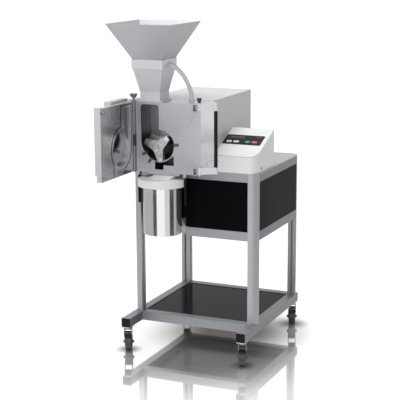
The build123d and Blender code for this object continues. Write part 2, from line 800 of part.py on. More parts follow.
def door_y(closed_x):
    """Where on the open door a point lies that is at closed_x when the door is shut."""
    return hinge_y - (closed_x - hinge_x)


seal_chute_left = -191.0
seal_chute_right = -92.5
seal_chute_top = chute_top + 3.5
seal_outlet_left = -125.5
seal_outlet_right = -26.2


def seal_loop(half_width, start_x):
    """Ring along the seal line at start_x: outside outline less inside outline."""
    with BuildSketch(Plane.YZ.offset(start_x)) as loop:
        for grow, sketch_mode in ((half_width, Mode.ADD), (-half_width, Mode.SUBTRACT)):
            chute_near = door_y(seal_chute_left) + grow
            chute_far = door_y(seal_chute_right) - grow
            outlet_near = door_y(seal_outlet_left) + grow
            outlet_far = door_y(seal_outlet_right) - grow
            chute_high = seal_chute_top + grow
            with Locations((door_y(rotor_x), rotor_z)):
                Circle(seal_radius + grow, mode=sketch_mode)
            with Locations(((chute_near + chute_far) / 2, (rotor_z + chute_high) / 2)):
                Rectangle(chute_near - chute_far, chute_high - rotor_z, mode=sketch_mode)
            with Locations(((outlet_near + outlet_far) / 2, (rotor_z + door_bottom) / 2)):
                Rectangle(outlet_near - outlet_far, rotor_z - door_bottom, mode=sketch_mode)
    return loop.sketch


with BuildPart() as door_plate:
    block(door_outer_x, door_inner_x, door_free_y, hinge_y - door_start, door_bottom, door_top)
    block(
        door_outer_x - edge_strip_proud, door_inner_x - 1.5, door_free_y, door_free_y + edge_strip_width,
        edge_strip_low_z, edge_strip_high_z,
    )
    for knuckle_start, knuckle_end in (
        (door_bottom, knuckle_low_z - 0.3), (knuckle_high_z + 0.3, door_top),
    ):
        post(hinge_x, hinge_y, knuckle_start, knuckle_end, knuckle_radius)
        block(
            hinge_x - knuckle_radius, hinge_x, hinge_y - door_start - 1, hinge_y,
            knuckle_start, knuckle_end,
        )
    post(hinge_x, hinge_y, door_bottom - 1, door_top + 1, hinge_pin_radius + running_fit, mode=Mode.SUBTRACT)
    with BuildSketch(Plane.YZ.offset(door_inner_x)):
        with Locations((door_y(rotor_x), rotor_z)):
            Circle(door_bore_radius)
    extrude(amount=-door_bore_depth, mode=Mode.SUBTRACT)
    block(
        door_inner_x - recess_depth, door_inner_x + 1, door_y(recess_right), door_y(recess_left),
        rotor_z + 30, recess_top, mode=Mode.SUBTRACT,
    )
    extrude(seal_loop(seal_half_width + fit_gap, door_inner_x), amount=-seal_depth, mode=Mode.SUBTRACT)
save(door_plate, "door_plate")

with BuildPart() as door_seal:
    extrude(seal_loop(seal_half_width, door_inner_x + seal_proud), amount=-(seal_depth + seal_proud))
save(door_seal, "door_seal")

cover_near = hinge_y - 14.0
cover_far = hinge_y - 169.0
cover_low_z = door_bottom + 10.0
cover_high_z = door_top + 11.0
cover_sheet = 2.0
with BuildPart() as door_cover:
    block(door_outer_x - cover_depth, door_outer_x, cover_far, cover_near, cover_low_z, cover_high_z)
    block(
        door_outer_x - cover_depth + cover_sheet, door_outer_x + 1,
        cover_far + cover_sheet, cover_near - cover_sheet,
        cover_low_z + cover_sheet, cover_high_z - cover_sheet, mode=Mode.SUBTRACT,
    )
save(door_cover, "door_cover")

with BuildPart() as door_lugs:
    for socket_low, socket_high in (lug_socket_low, lug_socket_high):
        lug_z = (socket_low + socket_high) / 2
        block(
            door_inner_x, door_inner_x + lug_protrusion,
            door_y(lug_socket_x + lug_half_width), door_y(lug_socket_x - lug_half_width),
            lug_z - lug_half_height, lug_z + lug_half_height,
        )
save(door_lugs, "door_lugs")

hinge_pin_top = chamber_top + 14.0
hinge_stud_radius = 3.0
hinge_stud_depth = 9.0
with BuildPart() as hinge_post:
    post(hinge_x, hinge_y, door_bottom - 4, hinge_pin_top, hinge_pin_radius)
    post(hinge_x, hinge_y, knuckle_low_z, knuckle_high_z, knuckle_radius)
    block(
        chamber_left - 6, chamber_left, hinge_y, hinge_y + 40,
        knuckle_low_z, knuckle_high_z,
    )
    post(
        hinge_x, hinge_y, hinge_pin_top - hinge_stud_depth - 2, hinge_pin_top + 1,
        hinge_stud_radius + running_fit, mode=Mode.SUBTRACT,
    )
save(hinge_post, "hinge_post")

with BuildPart() as interlock_block:
    block(
        chamber_left - 40, chamber_left, front_y - 112, front_y - 36,
        chamber_top - 82, chamber_top + 3,
    )
    fillet(interlock_block.edges().filter_by(Axis.Y), radius=3)
save(interlock_block, "interlock_block")

hinge_knob_low_z = hinge_pin_top + 1.0
hinge_knob_high_z = hinge_knob_low_z + 17.0
hinge_knob_radius = 16.5
hinge_knob_low_radius = 8.5
hinge_knob_band = 6.0
with BuildPart() as hinge_knob:
    with BuildSketch(Plane.XY.offset(hinge_knob_low_z)):
        with Locations((hinge_x, hinge_y)):
            Circle(hinge_knob_low_radius)
    with BuildSketch(Plane.XY.offset(hinge_knob_high_z - hinge_knob_band)):
        with Locations((hinge_x, hinge_y)):
            Circle(hinge_knob_radius)
    loft()
    post(hinge_x, hinge_y, hinge_knob_high_z - hinge_knob_band, hinge_knob_high_z, hinge_knob_radius)
    post(hinge_x, hinge_y, hinge_pin_top + 0.3, hinge_knob_low_z, 4)
    post(hinge_x, hinge_y, hinge_pin_top - hinge_stud_depth, hinge_pin_top + 1, hinge_stud_radius)
save(hinge_knob, "hinge_knob")

# ----------------------------------------------------------- door clamp lever
clamp_pin_gap = 0.3
clamp_neck_radius = 6.5
clamp_knob_radius = 9.8
clamp_knob_low_z = clamp_high_z[1] + 10.0
clamp_knob_high_z = clamp_high_z[1] + 22.0
clamp_pin_top = clamp_high_z[1] + 7.0
with BuildPart() as pivot_brackets:
    for arm_low, arm_high, pin_top in (
        (clamp_low_z[0], clamp_low_z[1], clamp_low_z[1] + 7), (clamp_high_z[0], clamp_high_z[1], clamp_pin_top),
    ):
        post(clamp_x, clamp_y, arm_low - 7, pin_top, clamp_pin_radius)
        lug_levels = [(arm_low - 7, arm_low - clamp_pin_gap)]
        if arm_low == clamp_low_z[0]:
            lug_levels.append((arm_high + clamp_pin_gap, arm_high + 7))
        for lug_low, lug_high in lug_levels:
            post(clamp_x, clamp_y, lug_low, lug_high, clamp_hub_radius - 0.5)
            block(clamp_x - 6, chamber_right, clamp_y, chamber_front, lug_low, lug_high)
            block(
                clamp_x - 10, clamp_x + 10, chamber_front, chamber_front + 10,
                lug_low, lug_high, mode=Mode.SUBTRACT,
            )
    for side in (-1, 1):
        latch_x = vessel_x + side * latch_offset
        for ear_low, ear_high in (
            (vessel_y - latch_half_width - 4.3, vessel_y - latch_half_width - 0.3),
            (vessel_y + latch_half_width + 0.3, vessel_y + latch_half_width + 4.3),
        ):
            block(latch_x - 6.5, latch_x + 6.5, ear_low, ear_high, latch_pivot_z - 6, chamber_bottom)
        block(
            latch_x - 6.5, latch_x + 6.5, vessel_y - latch_half_width - 4.3, vessel_y + latch_half_width + 4.3,
            latch_pivot_z + 7, chamber_bottom,
        )
        rod_along_y(latch_x, latch_pivot_z, vessel_y - latch_half_width - 4, vessel_y + latch_half_width + 4, 3)
save(pivot_brackets, "pivot_brackets")

clamp_turn = radians(clamp_rest_angle)
grip_x = clamp_x + clamp_arm_length * cos(clamp_turn)
grip_y = clamp_y + clamp_arm_length * sin(clamp_turn)
with BuildPart() as clamp_arms:
    for arm_low, arm_high in (clamp_low_z, clamp_high_z):
        with BuildSketch(Plane.XY.offset(arm_low)):
            with Locations((clamp_x, clamp_y)):
                Circle(clamp_hub_radius)
            with Locations((grip_x, grip_y)):
                Circle(grip_boss_radius)
            with Locations(Location(((clamp_x + grip_x) / 2, (clamp_y + grip_y) / 2), clamp_rest_angle)):
                Rectangle(clamp_arm_length, 2 * clamp_hub_radius - 2)
        extrude(amount=arm_high - arm_low)
        post(clamp_x, clamp_y, arm_low - 1, arm_high + 1, clamp_pin_radius + running_fit, mode=Mode.SUBTRACT)
save(clamp_arms, "clamp_arms")

with BuildPart() as clamp_grip:
    post(grip_x, grip_y, clamp_low_z[1], clamp_high_z[0], grip_radius)
save(clamp_grip, "clamp_grip")

with BuildPart() as clamp_knob:
    post(clamp_x, clamp_y, clamp_knob_low_z, clamp_knob_high_z, clamp_knob_radius)
    fillet(clamp_knob.edges().group_by(Axis.Z)[-1], radius=2)
    post(clamp_x, clamp_y, clamp_high_z[1] + clamp_pin_gap, clamp_knob_low_z, clamp_neck_radius)
    post(
        clamp_x, clamp_y, clamp_high_z[1], clamp_pin_top + clamp_pin_gap,
        clamp_pin_radius + running_fit, mode=Mode.SUBTRACT,
    )
save(clamp_knob, "clamp_knob")

# --------------------------------------------------------------------- hopper


def hopper_section(z, width, depth, shrink):
    with BuildSketch(Plane.XY.offset(z)) as section:
        with Locations((hopper_x, hopper_y)):
            Rectangle(width - 2 * shrink, depth - 2 * shrink)
    return section.sketch


throat_width = collar_width - 6.0
throat_depth = collar_depth - 6.0
with BuildPart() as hopper:
    block(
        hopper_x - spout_width / 2 - 9, hopper_x + spout_width / 2 + 9,
        hopper_y - spout_depth / 2, hopper_y + spout_depth / 2 + 9, chamber_top, hopper_flange_top,
    )
    for shrink, mode in ((0.0, Mode.ADD), (hopper_sheet, Mode.SUBTRACT)):
        spout_low = hopper_section(chamber_top, spout_width, spout_depth, shrink)
        spout_high = hopper_section(spout_top, spout_width, spout_depth, shrink)
        throat_low = hopper_section(collar_bottom, throat_width, throat_depth, shrink)
        throat_high = hopper_section(collar_top, throat_width, throat_depth, shrink)
        rim = hopper_section(rim_z, rim_width, rim_depth, shrink)
        extrude(spout_low, amount=spout_top - chamber_top, mode=mode)
        loft([spout_high, throat_low], ruled=True, mode=mode)
        if mode == Mode.ADD:
            throat_low = hopper_section(collar_bottom, collar_width, collar_depth, 0.0)
        extrude(throat_low, amount=collar_top - collar_bottom, mode=mode)
        loft([throat_high, rim], ruled=True, mode=mode)
save(hopper, "hopper")

# ----------------------------------------------------------------------- hose
hose_radius = 9.0
hose_start_x = hopper_x + collar_width / 2
hose_points = [
    (hose_start_x, front_y - 81.0, 1300.6),
    (hose_start_x + 11.0, front_y - 81.0, 1300.6),
    (hose_start_x + 34.0, front_y - 67.0, 1281.0),
    (-11.0, front_y - 53.5, 1247.0),
    (7.0, front_y - 45.0, 1205.0),
    (16.0, front_y - 40.6, 1166.0),
    (16.0, front_y - 40.6, chamber_top),
]


def bend_radii(points):
    """Largest tangent arc each corner can hold with 0.45 of its shorter run."""
    radii = []
    for before, corner, after in zip(points, points[1:], points[2:]):
        run_in = Vector(*corner) - Vector(*before)
        run_out = Vector(*after) - Vector(*corner)
        turn = radians(run_in.get_angle(run_out))
        radii.append(0.45 * min(run_in.length, run_out.length) / tan(turn / 2))
    return radii


hose_radii = bend_radii(hose_points)
with BuildPart() as feed_hose:
    with BuildLine() as hose_line:
        FilletPolyline(*hose_points, radius=hose_radii)
    with BuildSketch(Plane(origin=hose_line.line @ 0, z_dir=hose_line.line % 0)):
        Circle(hose_radius)
    sweep(path=hose_line.line)
save(feed_hose, "feed_hose")
hose_length = sum(edge.length for edge in hose_line.line.edges())
hose_volume = pi * hose_radius**2 * hose_length
print("hose radii", [round(value, 1) for value in hose_radii])
print("hose length", round(hose_length, 1), "volume ratio", round(feed_hose.part.volume / hose_volume, 4))

with BuildPart() as hose_fittings:
    post(hose_points[-1][0], hose_points[-1][1], chamber_top, chamber_top + 8, hose_radius + 3.5)
    post(hose_points[-1][0], hose_points[-1][1], chamber_top - 1, chamber_top + 9, hose_radius + 0.5, mode=Mode.SUBTRACT)
    rod_along_x(hose_points[0][1], hose_points[0][2], hose_start_x, hose_start_x + 5, hose_radius + 3.5)
    rod_along_x(
        hose_points[0][1], hose_points[0][2], hose_start_x - 1, hose_start_x + 6,
        hose_radius + 0.3, mode=Mode.SUBTRACT,
    )
save(hose_fittings, "hose_fittings")

# ----------------------------------------------------------- vessel and latches
with BuildPart() as vessel_lid:
    post(vessel_x, vessel_y, lid_bottom, lid_top, lid_radius)
    fillet(vessel_lid.edges().group_by(Axis.Z)[-1], radius=3)
    post(vessel_x, vessel_y, lid_bottom - 1, lid_plate_z, vessel_radius + 0.5, mode=Mode.SUBTRACT)
    post(vessel_x, vessel_y, lid_plate_z - 1, lid_top + 1, lid_mouth_radius, mode=Mode.SUBTRACT)
save(vessel_lid, "vessel_lid")

with BuildPart() as vessel:
    post(vessel_x, vessel_y, vessel_bottom, lid_plate_z, vessel_radius)
    fillet(vessel.edges().group_by(Axis.Z)[0], radius=4)
    post(vessel_x, vessel_y, vessel_bottom + vessel_wall, lid_plate_z + 1, vessel_radius - vessel_wall, mode=Mode.SUBTRACT)
save(vessel, "vessel")


def build_latch(side, label):
    """Swinging latch beside the lid; side is -1 on the left and +1 on the right."""
    pivot_x = vessel_x + side * latch_offset
    bar_inner = vessel_x + side * (latch_offset - 3.5)
    bar_outer = vessel_x + side * (latch_offset + 3.5)
    pad_inner = vessel_x + side * (lid_radius + latch_pad_gap)
    latch_front = vessel_y - latch_half_width
    latch_back = vessel_y + latch_half_width
    with BuildPart() as latch:
        block(min(bar_inner, bar_outer), max(bar_inner, bar_outer), latch_front, latch_back, latch_tip_z, latch_pivot_z)
        block(
            min(pad_inner, pivot_x), max(pad_inner, pivot_x), latch_front, latch_back,
            lid_bottom + 4, lid_top - 5,
        )
        rod_along_y(pivot_x, latch_pivot_z, latch_front, latch_back, 6)
        rod_along_y(pivot_x, latch_pivot_z, latch_front - 1, latch_back + 1, 3 + running_fit, mode=Mode.SUBTRACT)
    save(latch, label)


build_latch(-1, "vessel_latch_left")
build_latch(1, "vessel_latch_right")

# ---------------------------------------------------------------- control box
slope = radians(box_slope)
box_front_top_z = table_top_z + box_front_height
box_back_top_z = box_front_top_z + (box_back - box_front) * tan(slope)


def box_wedge(inset, z_low):
    """The control box as a solid, shrunk by inset on every side but the bottom."""
    front_in = box_front + inset
    back_in = box_back - inset
    drop = inset / cos(slope)
    front_top = box_front_top_z + (front_in - box_front) * tan(slope) - drop
    back_top = box_front_top_z + (back_in - box_front) * tan(slope) - drop
    with BuildSketch(Plane.YZ.offset(box_left + inset)) as wedge_section:
        with BuildLine():
            Polyline(
                (front_in, z_low), (front_in, front_top), (back_in, back_top), (back_in, z_low), (front_in, z_low)
            )
        make_face()
    return extrude(wedge_section.sketch, amount=box_right - box_left - 2 * inset, mode=Mode.PRIVATE)


def box_corner_waste(inset):
    """What is left over outside the rounded front right corner."""
    radius = box_corner_radius - inset
    corner_x = box_right - inset
    corner_y = box_front + inset
    with BuildSketch(Plane.XY.offset(table_top_z - 1)) as waste_section:
        with BuildLine():
            Line((corner_x, corner_y), (corner_x, corner_y + radius))
            RadiusArc((corner_x, corner_y + radius), (corner_x - radius, corner_y), radius)
            Line((corner_x - radius, corner_y), (corner_x, corner_y))
        make_face()
    return extrude(waste_section.sketch, amount=200, mode=Mode.PRIVATE)


slope_plane = Plane(
    origin=(0, box_front, box_front_top_z), x_dir=(1, 0, 0), z_dir=(0, -sin(slope), cos(slope))
)


def along_slope(distance_back):
    return distance_back / cos(slope)


key_gap = 0.15
key_spots = {
    "menu_button": (127.0, 109.5, 26.0, 15.0),
    "set_button": (160.0, 110.0, 26.0, 15.0),
    "start_button": (213.0, 110.8, 23.0, 16.5),
    "stop_button": (245.3, 110.8, 27.0, 16.5),
}
display_spot = (150.0, 141.0, 62.0, 16.0)

with BuildPart() as control_box:
    add(box_wedge(0.0, table_top_z) - box_corner_waste(0.0))
    add(box_wedge(box_wall, table_top_z - 1) - box_corner_waste(box_wall), mode=Mode.SUBTRACT)
    for key_x, key_y, key_length, key_width in key_spots.values():
        with BuildSketch(slope_plane):
            with Locations((key_x, along_slope(key_y))):
                SlotOverall(key_length + 2 * key_gap, key_width + 2 * key_gap)
        extrude(amount=-8, mode=Mode.SUBTRACT)
save(control_box, "control_box")

with BuildPart() as keypad:
    with BuildSketch(slope_plane):
        with Locations(((keypad_left + keypad_right) / 2, along_slope((keypad_near + keypad_far) / 2))):
            RectangleRounded(keypad_right - keypad_left, along_slope(keypad_far - keypad_near), 4)
        for key_x, key_y, key_length, key_width in key_spots.values():
            with Locations((key_x, along_slope(key_y))):
                SlotOverall(key_length + 2 * key_gap, key_width + 2 * key_gap, mode=Mode.SUBTRACT)
        display_x, display_y, display_width, display_height = display_spot
        with Locations((display_x, along_slope(display_y))):
            Rectangle(display_width + 0.2, display_height + 0.2, mode=Mode.SUBTRACT)
    extrude(amount=keypad_thickness)
save(keypad, "keypad")

with BuildPart() as display:
    with BuildSketch(slope_plane):
        with Locations((display_spot[0], along_slope(display_spot[1]))):
            Rectangle(display_spot[2], display_spot[3])
    extrude(amount=keypad_thickness + 0.3)
save(display, "display")

key_proud = 1.4
key_depth = 5.0
for key_name, (key_x, key_y, key_length, key_width) in key_spots.items():
    with BuildPart() as key:
        with BuildSketch(slope_plane.offset(keypad_thickness + key_proud)):
            with Locations((key_x, along_slope(key_y))):
                SlotOverall(key_length, key_width)
        extrude(amount=-(keypad_thickness + key_proud + key_depth))
    save(key, key_name)

with BuildPart() as circuit_board:
    board_drop = 12.0
    board_thickness = 1.6
    with BuildSketch(slope_plane.offset(-board_drop)):
        with Locations((185, along_slope(125))):
            Rectangle(150, 80)
    extrude(amount=-board_thickness)
    with BuildSketch(slope_plane.offset(-board_drop)):
        for standoff_x in (115, 255):
            for standoff_y in (92, 158):
                with Locations((standoff_x, along_slope(standoff_y))):
                    Circle(3)
    extrude(amount=board_drop - box_wall)
save(circuit_board, "circuit_board")
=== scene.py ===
import math

import bmesh
import bpy
from mathutils import Matrix, Vector


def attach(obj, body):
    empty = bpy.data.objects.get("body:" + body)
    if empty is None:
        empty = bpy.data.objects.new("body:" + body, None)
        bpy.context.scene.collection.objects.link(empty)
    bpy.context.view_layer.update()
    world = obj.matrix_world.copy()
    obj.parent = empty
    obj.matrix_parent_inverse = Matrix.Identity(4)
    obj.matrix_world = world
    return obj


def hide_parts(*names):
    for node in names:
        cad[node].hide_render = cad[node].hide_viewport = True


print("mill: loading the frame")
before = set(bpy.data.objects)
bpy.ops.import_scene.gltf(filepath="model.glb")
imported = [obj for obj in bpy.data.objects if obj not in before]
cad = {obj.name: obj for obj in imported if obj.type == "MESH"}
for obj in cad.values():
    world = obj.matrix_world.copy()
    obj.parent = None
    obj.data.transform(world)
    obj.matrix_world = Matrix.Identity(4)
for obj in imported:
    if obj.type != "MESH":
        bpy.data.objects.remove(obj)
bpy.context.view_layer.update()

frontY = -0.081  # front face of the front legs


# node helpers
def addNode(tree, kind, x, y, **values):
    node = tree.nodes.new(kind)
    node.location = (x, y)
    for name, value in values.items():
        setattr(node, name, value)
    return node


def newGroup(name, inputs, outputs):
    group = bpy.data.node_groups.new(name, "ShaderNodeTree")
    for label, kind, value in inputs:
        socket = group.interface.new_socket(label, in_out="INPUT", socket_type=kind)
        socket.default_value = value
    for label, kind in outputs:
        group.interface.new_socket(label, in_out="OUTPUT", socket_type=kind)
    start = addNode(group, "NodeGroupInput", -900, 0)
    end = addNode(group, "NodeGroupOutput", 700, 0)
    return group, start, end


def buildStreakGroup():
    # fine lines that run along one axis, as on drawn, milled or brushed metal
    group, start, end = newGroup(
        "streaks",
        [
            ("Along", "NodeSocketVector", (1.0, 1.0, 1.0)),
            ("Contrast", "NodeSocketFloat", 0.1),
            ("Tone", "NodeSocketColor", (0.6, 0.6, 0.6, 1.0)),
            ("Rough", "NodeSocketFloat", 0.4),
        ],
        [("Color", "NodeSocketColor"), ("Roughness", "NodeSocketFloat"), ("Height", "NodeSocketFloat")],
    )
    place = addNode(group, "ShaderNodeTexCoord", -900, 300)
    stretch = addNode(group, "ShaderNodeVectorMath", -700, 300, operation="MULTIPLY")
    fine = addNode(group, "ShaderNodeTexNoise", -500, 350)
    fine.inputs["Scale"].default_value = 1.0
    fine.inputs["Detail"].default_value = 4.0
    cloud = addNode(group, "ShaderNodeTexNoise", -500, 50)
    cloud.inputs["Scale"].default_value = 5.0
    cloud.inputs["Detail"].default_value = 2.0
    mixed = addNode(group, "ShaderNodeMath", -300, 250, operation="MULTIPLY_ADD")
    mixed.inputs[1].default_value = 0.7
    cloudPart = addNode(group, "ShaderNodeMath", -400, -100, operation="MULTIPLY")
    cloudPart.inputs[1].default_value = 0.3
    centred = addNode(group, "ShaderNodeMath", -150, 250, operation="SUBTRACT")
    centred.inputs[1].default_value = 0.5
    swing = addNode(group, "ShaderNodeMath", 0, 250, operation="MULTIPLY")
    factor = addNode(group, "ShaderNodeMath", 150, 250, operation="ADD")
    factor.inputs[1].default_value = 1.0
    tint = addNode(group, "ShaderNodeVectorMath", 350, 300, operation="SCALE")
    roughen = addNode(group, "ShaderNodeMath", 350, 50, operation="MULTIPLY")
    link = group.links.new
    link(place.outputs["Object"], stretch.inputs[0])
    link(start.outputs["Along"], stretch.inputs[1])
    link(stretch.outputs[0], fine.inputs["Vector"])
    link(place.outputs["Object"], cloud.inputs["Vector"])
    link(cloud.outputs["Fac"], cloudPart.inputs[0])
    link(fine.outputs["Fac"], mixed.inputs[0])
    link(cloudPart.outputs[0], mixed.inputs[2])
    link(mixed.outputs[0], centred.inputs[0])
    link(centred.outputs[0], swing.inputs[0])
    link(start.outputs["Contrast"], swing.inputs[1])
    link(swing.outputs[0], factor.inputs[0])
    link(start.outputs["Tone"], tint.inputs[0])
    link(factor.outputs[0], tint.inputs["Scale"])
    link(factor.outputs[0], roughen.inputs[0])
    link(start.outputs["Rough"], roughen.inputs[1])
    link(tint.outputs[0], end.inputs["Color"])
    link(roughen.outputs[0], end.inputs["Roughness"])
    link(fine.outputs["Fac"], end.inputs["Height"])
    return group


def buildGrainGroup():
    # even speckle with soft blotches, as on powder paint, moulded plastic and rubber
    group, start, end = newGroup(
        "grain",
        [
            ("Size", "NodeSocketFloat", 900.0),
            ("Contrast", "NodeSocketFloat", 0.08),
            ("Tone", "NodeSocketColor", (0.8, 0.8, 0.8, 1.0)),
            ("Rough", "NodeSocketFloat", 0.4),
        ],
        [("Color", "NodeSocketColor"), ("Roughness", "NodeSocketFloat"), ("Height", "NodeSocketFloat")],
    )
    place = addNode(group, "ShaderNodeTexCoord", -900, 300)
    speck = addNode(group, "ShaderNodeTexNoise", -500, 350)
    speck.inputs["Detail"].default_value = 3.0
    blotch = addNode(group, "ShaderNodeTexNoise", -500, 50)
    blotch.inputs["Scale"].default_value = 9.0
    blotch.inputs["Detail"].default_value = 3.0
    both = addNode(group, "ShaderNodeMath", -300, 250, operation="ADD")
    centred = addNode(group, "ShaderNodeMath", -150, 250, operation="SUBTRACT")
    centred.inputs[1].default_value = 1.0
    swing = addNode(group, "ShaderNodeMath", 0, 250, operation="MULTIPLY")
    factor = addNode(group, "ShaderNodeMath", 150, 250, operation="ADD")
    factor.inputs[1].default_value = 1.0
    tint = addNode(group, "ShaderNodeVectorMath", 350, 300, operation="SCALE")
    roughen = addNode(group, "ShaderNodeMath", 350, 50, operation="MULTIPLY")
    link = group.links.new
    link(place.outputs["Object"], speck.inputs["Vector"])
    link(start.outputs["Size"], speck.inputs["Scale"])
    link(place.outputs["Object"], blotch.inputs["Vector"])
    link(speck.outputs["Fac"], both.inputs[0])
    link(blotch.outputs["Fac"], both.inputs[1])
    link(both.outputs[0], centred.inputs[0])
    link(centred.outputs[0], swing.inputs[0])
    link(start.outputs["Contrast"], swing.inputs[1])
    link(swing.outputs[0], factor.inputs[0])
    link(start.outputs["Tone"], tint.inputs[0])
    link(factor.outputs[0], tint.inputs["Scale"])
    link(factor.outputs[0], roughen.inputs[0])
    link(start.outputs["Rough"], roughen.inputs[1])
    link(tint.outputs[0], end.inputs["Color"])
    link(roughen.outputs[0], end.inputs["Roughness"])
    link(speck.outputs["Fac"], end.inputs["Height"])
    return group


def buildWearGroup():
    # lighter rubbed edges
    group, start, end = newGroup(
        "edgeWear",
        [
            ("Color", "NodeSocketColor", (0.5, 0.5, 0.5, 1.0)),
            ("Worn", "NodeSocketColor", (0.8, 0.8, 0.8, 1.0)),
            ("Amount", "NodeSocketFloat", 0.3),
        ],
        [("Color", "NodeSocketColor"), ("Mask", "NodeSocketFloat")],
    )
    shape = addNode(group, "ShaderNodeNewGeometry", -700, 200)
    edge = addNode(group, "ShaderNodeMapRange", -500, 200)
    edge.inputs["From Min"].default_value = 0.52
    edge.inputs["From Max"].default_value = 0.62
    patch = addNode(group, "ShaderNodeTexNoise", -700, -100)
    patch.inputs["Scale"].default_value = 60.0
    patch.inputs["Detail"].default_value = 4.0
    broken = addNode(group, "ShaderNodeMath", -300, 100, operation="MULTIPLY")
    mask = addNode(group, "ShaderNodeMath", -100, 100, operation="MULTIPLY", use_clamp=True)
    blend = addNode(group, "ShaderNodeMix", 200, 150, data_type="RGBA")
    link = group.links.new
    link(shape.outputs["Pointiness"], edge.inputs["Value"])
    link(edge.outputs["Result"], broken.inputs[0])
    link(patch.outputs["Fac"], broken.inputs[1])
    link(broken.outputs[0], mask.inputs[0])
    link(start.outputs["Amount"], mask.inputs[1])
    link(mask.outputs[0], blend.inputs["Factor"])
    link(start.outputs["Color"], blend.inputs["A"])
    link(start.outputs["Worn"], blend.inputs["B"])
    link(blend.outputs["Result"], end.inputs["Color"])
    link(mask.outputs[0], end.inputs["Mask"])
    return group


streakGroup = buildStreakGroup()
grainGroup = buildGrainGroup()
wearGroup = buildWearGroup()


def surfaceMaterial(name, group, tone, rough, contrast, metallic=0.0, along=None, size=900.0,
                    bump=0.05, depth=0.0002, coat=0.0, coatRough=0.1, worn=None, wornAmount=0.0, specular=0.5):
    material = bpy.data.materials.new(name)
    material.use_nodes = True
    tree = material.node_tree
    tree.nodes.clear()
    output = addNode(tree, "ShaderNodeOutputMaterial", 600, 0)
    shader = addNode(tree, "ShaderNodeBsdfPrincipled", 300, 0)
    pattern = addNode(tree, "ShaderNodeGroup", -400, 100, node_tree=group)
    pattern.inputs["Tone"].default_value = (*tone, 1.0)
    pattern.inputs["Rough"].default_value = rough
    pattern.inputs["Contrast"].default_value = contrast
    if along is not None:
        pattern.inputs["Along"].default_value = along
    if group is grainGroup:
        pattern.inputs["Size"].default_value = size
    relief = addNode(tree, "ShaderNodeBump", 50, -250)
    relief.inputs["Strength"].default_value = bump
    relief.inputs["Distance"].default_value = depth
    link = tree.links.new
    if worn is None:
        link(pattern.outputs["Color"], shader.inputs["Base Color"])
    else:
        rubbed = addNode(tree, "ShaderNodeGroup", -100, 200, node_tree=wearGroup)
        rubbed.inputs["Worn"].default_value = (*worn, 1.0)
        rubbed.inputs["Amount"].default_value = wornAmount
        link(pattern.outputs["Color"], rubbed.inputs["Color"])
        link(rubbed.outputs["Color"], shader.inputs["Base Color"])
    link(pattern.outputs["Roughness"], shader.inputs["Roughness"])
    link(pattern.outputs["Height"], relief.inputs["Height"])
    link(relief.outputs["Normal"], shader.inputs["Normal"])
    shader.inputs["Metallic"].default_value = metallic
    shader.inputs["Specular IOR Level"].default_value = specular
    shader.inputs["Coat Weight"].default_value = coat
    shader.inputs["Coat Roughness"].default_value = coatRough
    link(shader.outputs["BSDF"], output.inputs["Surface"])
    return material


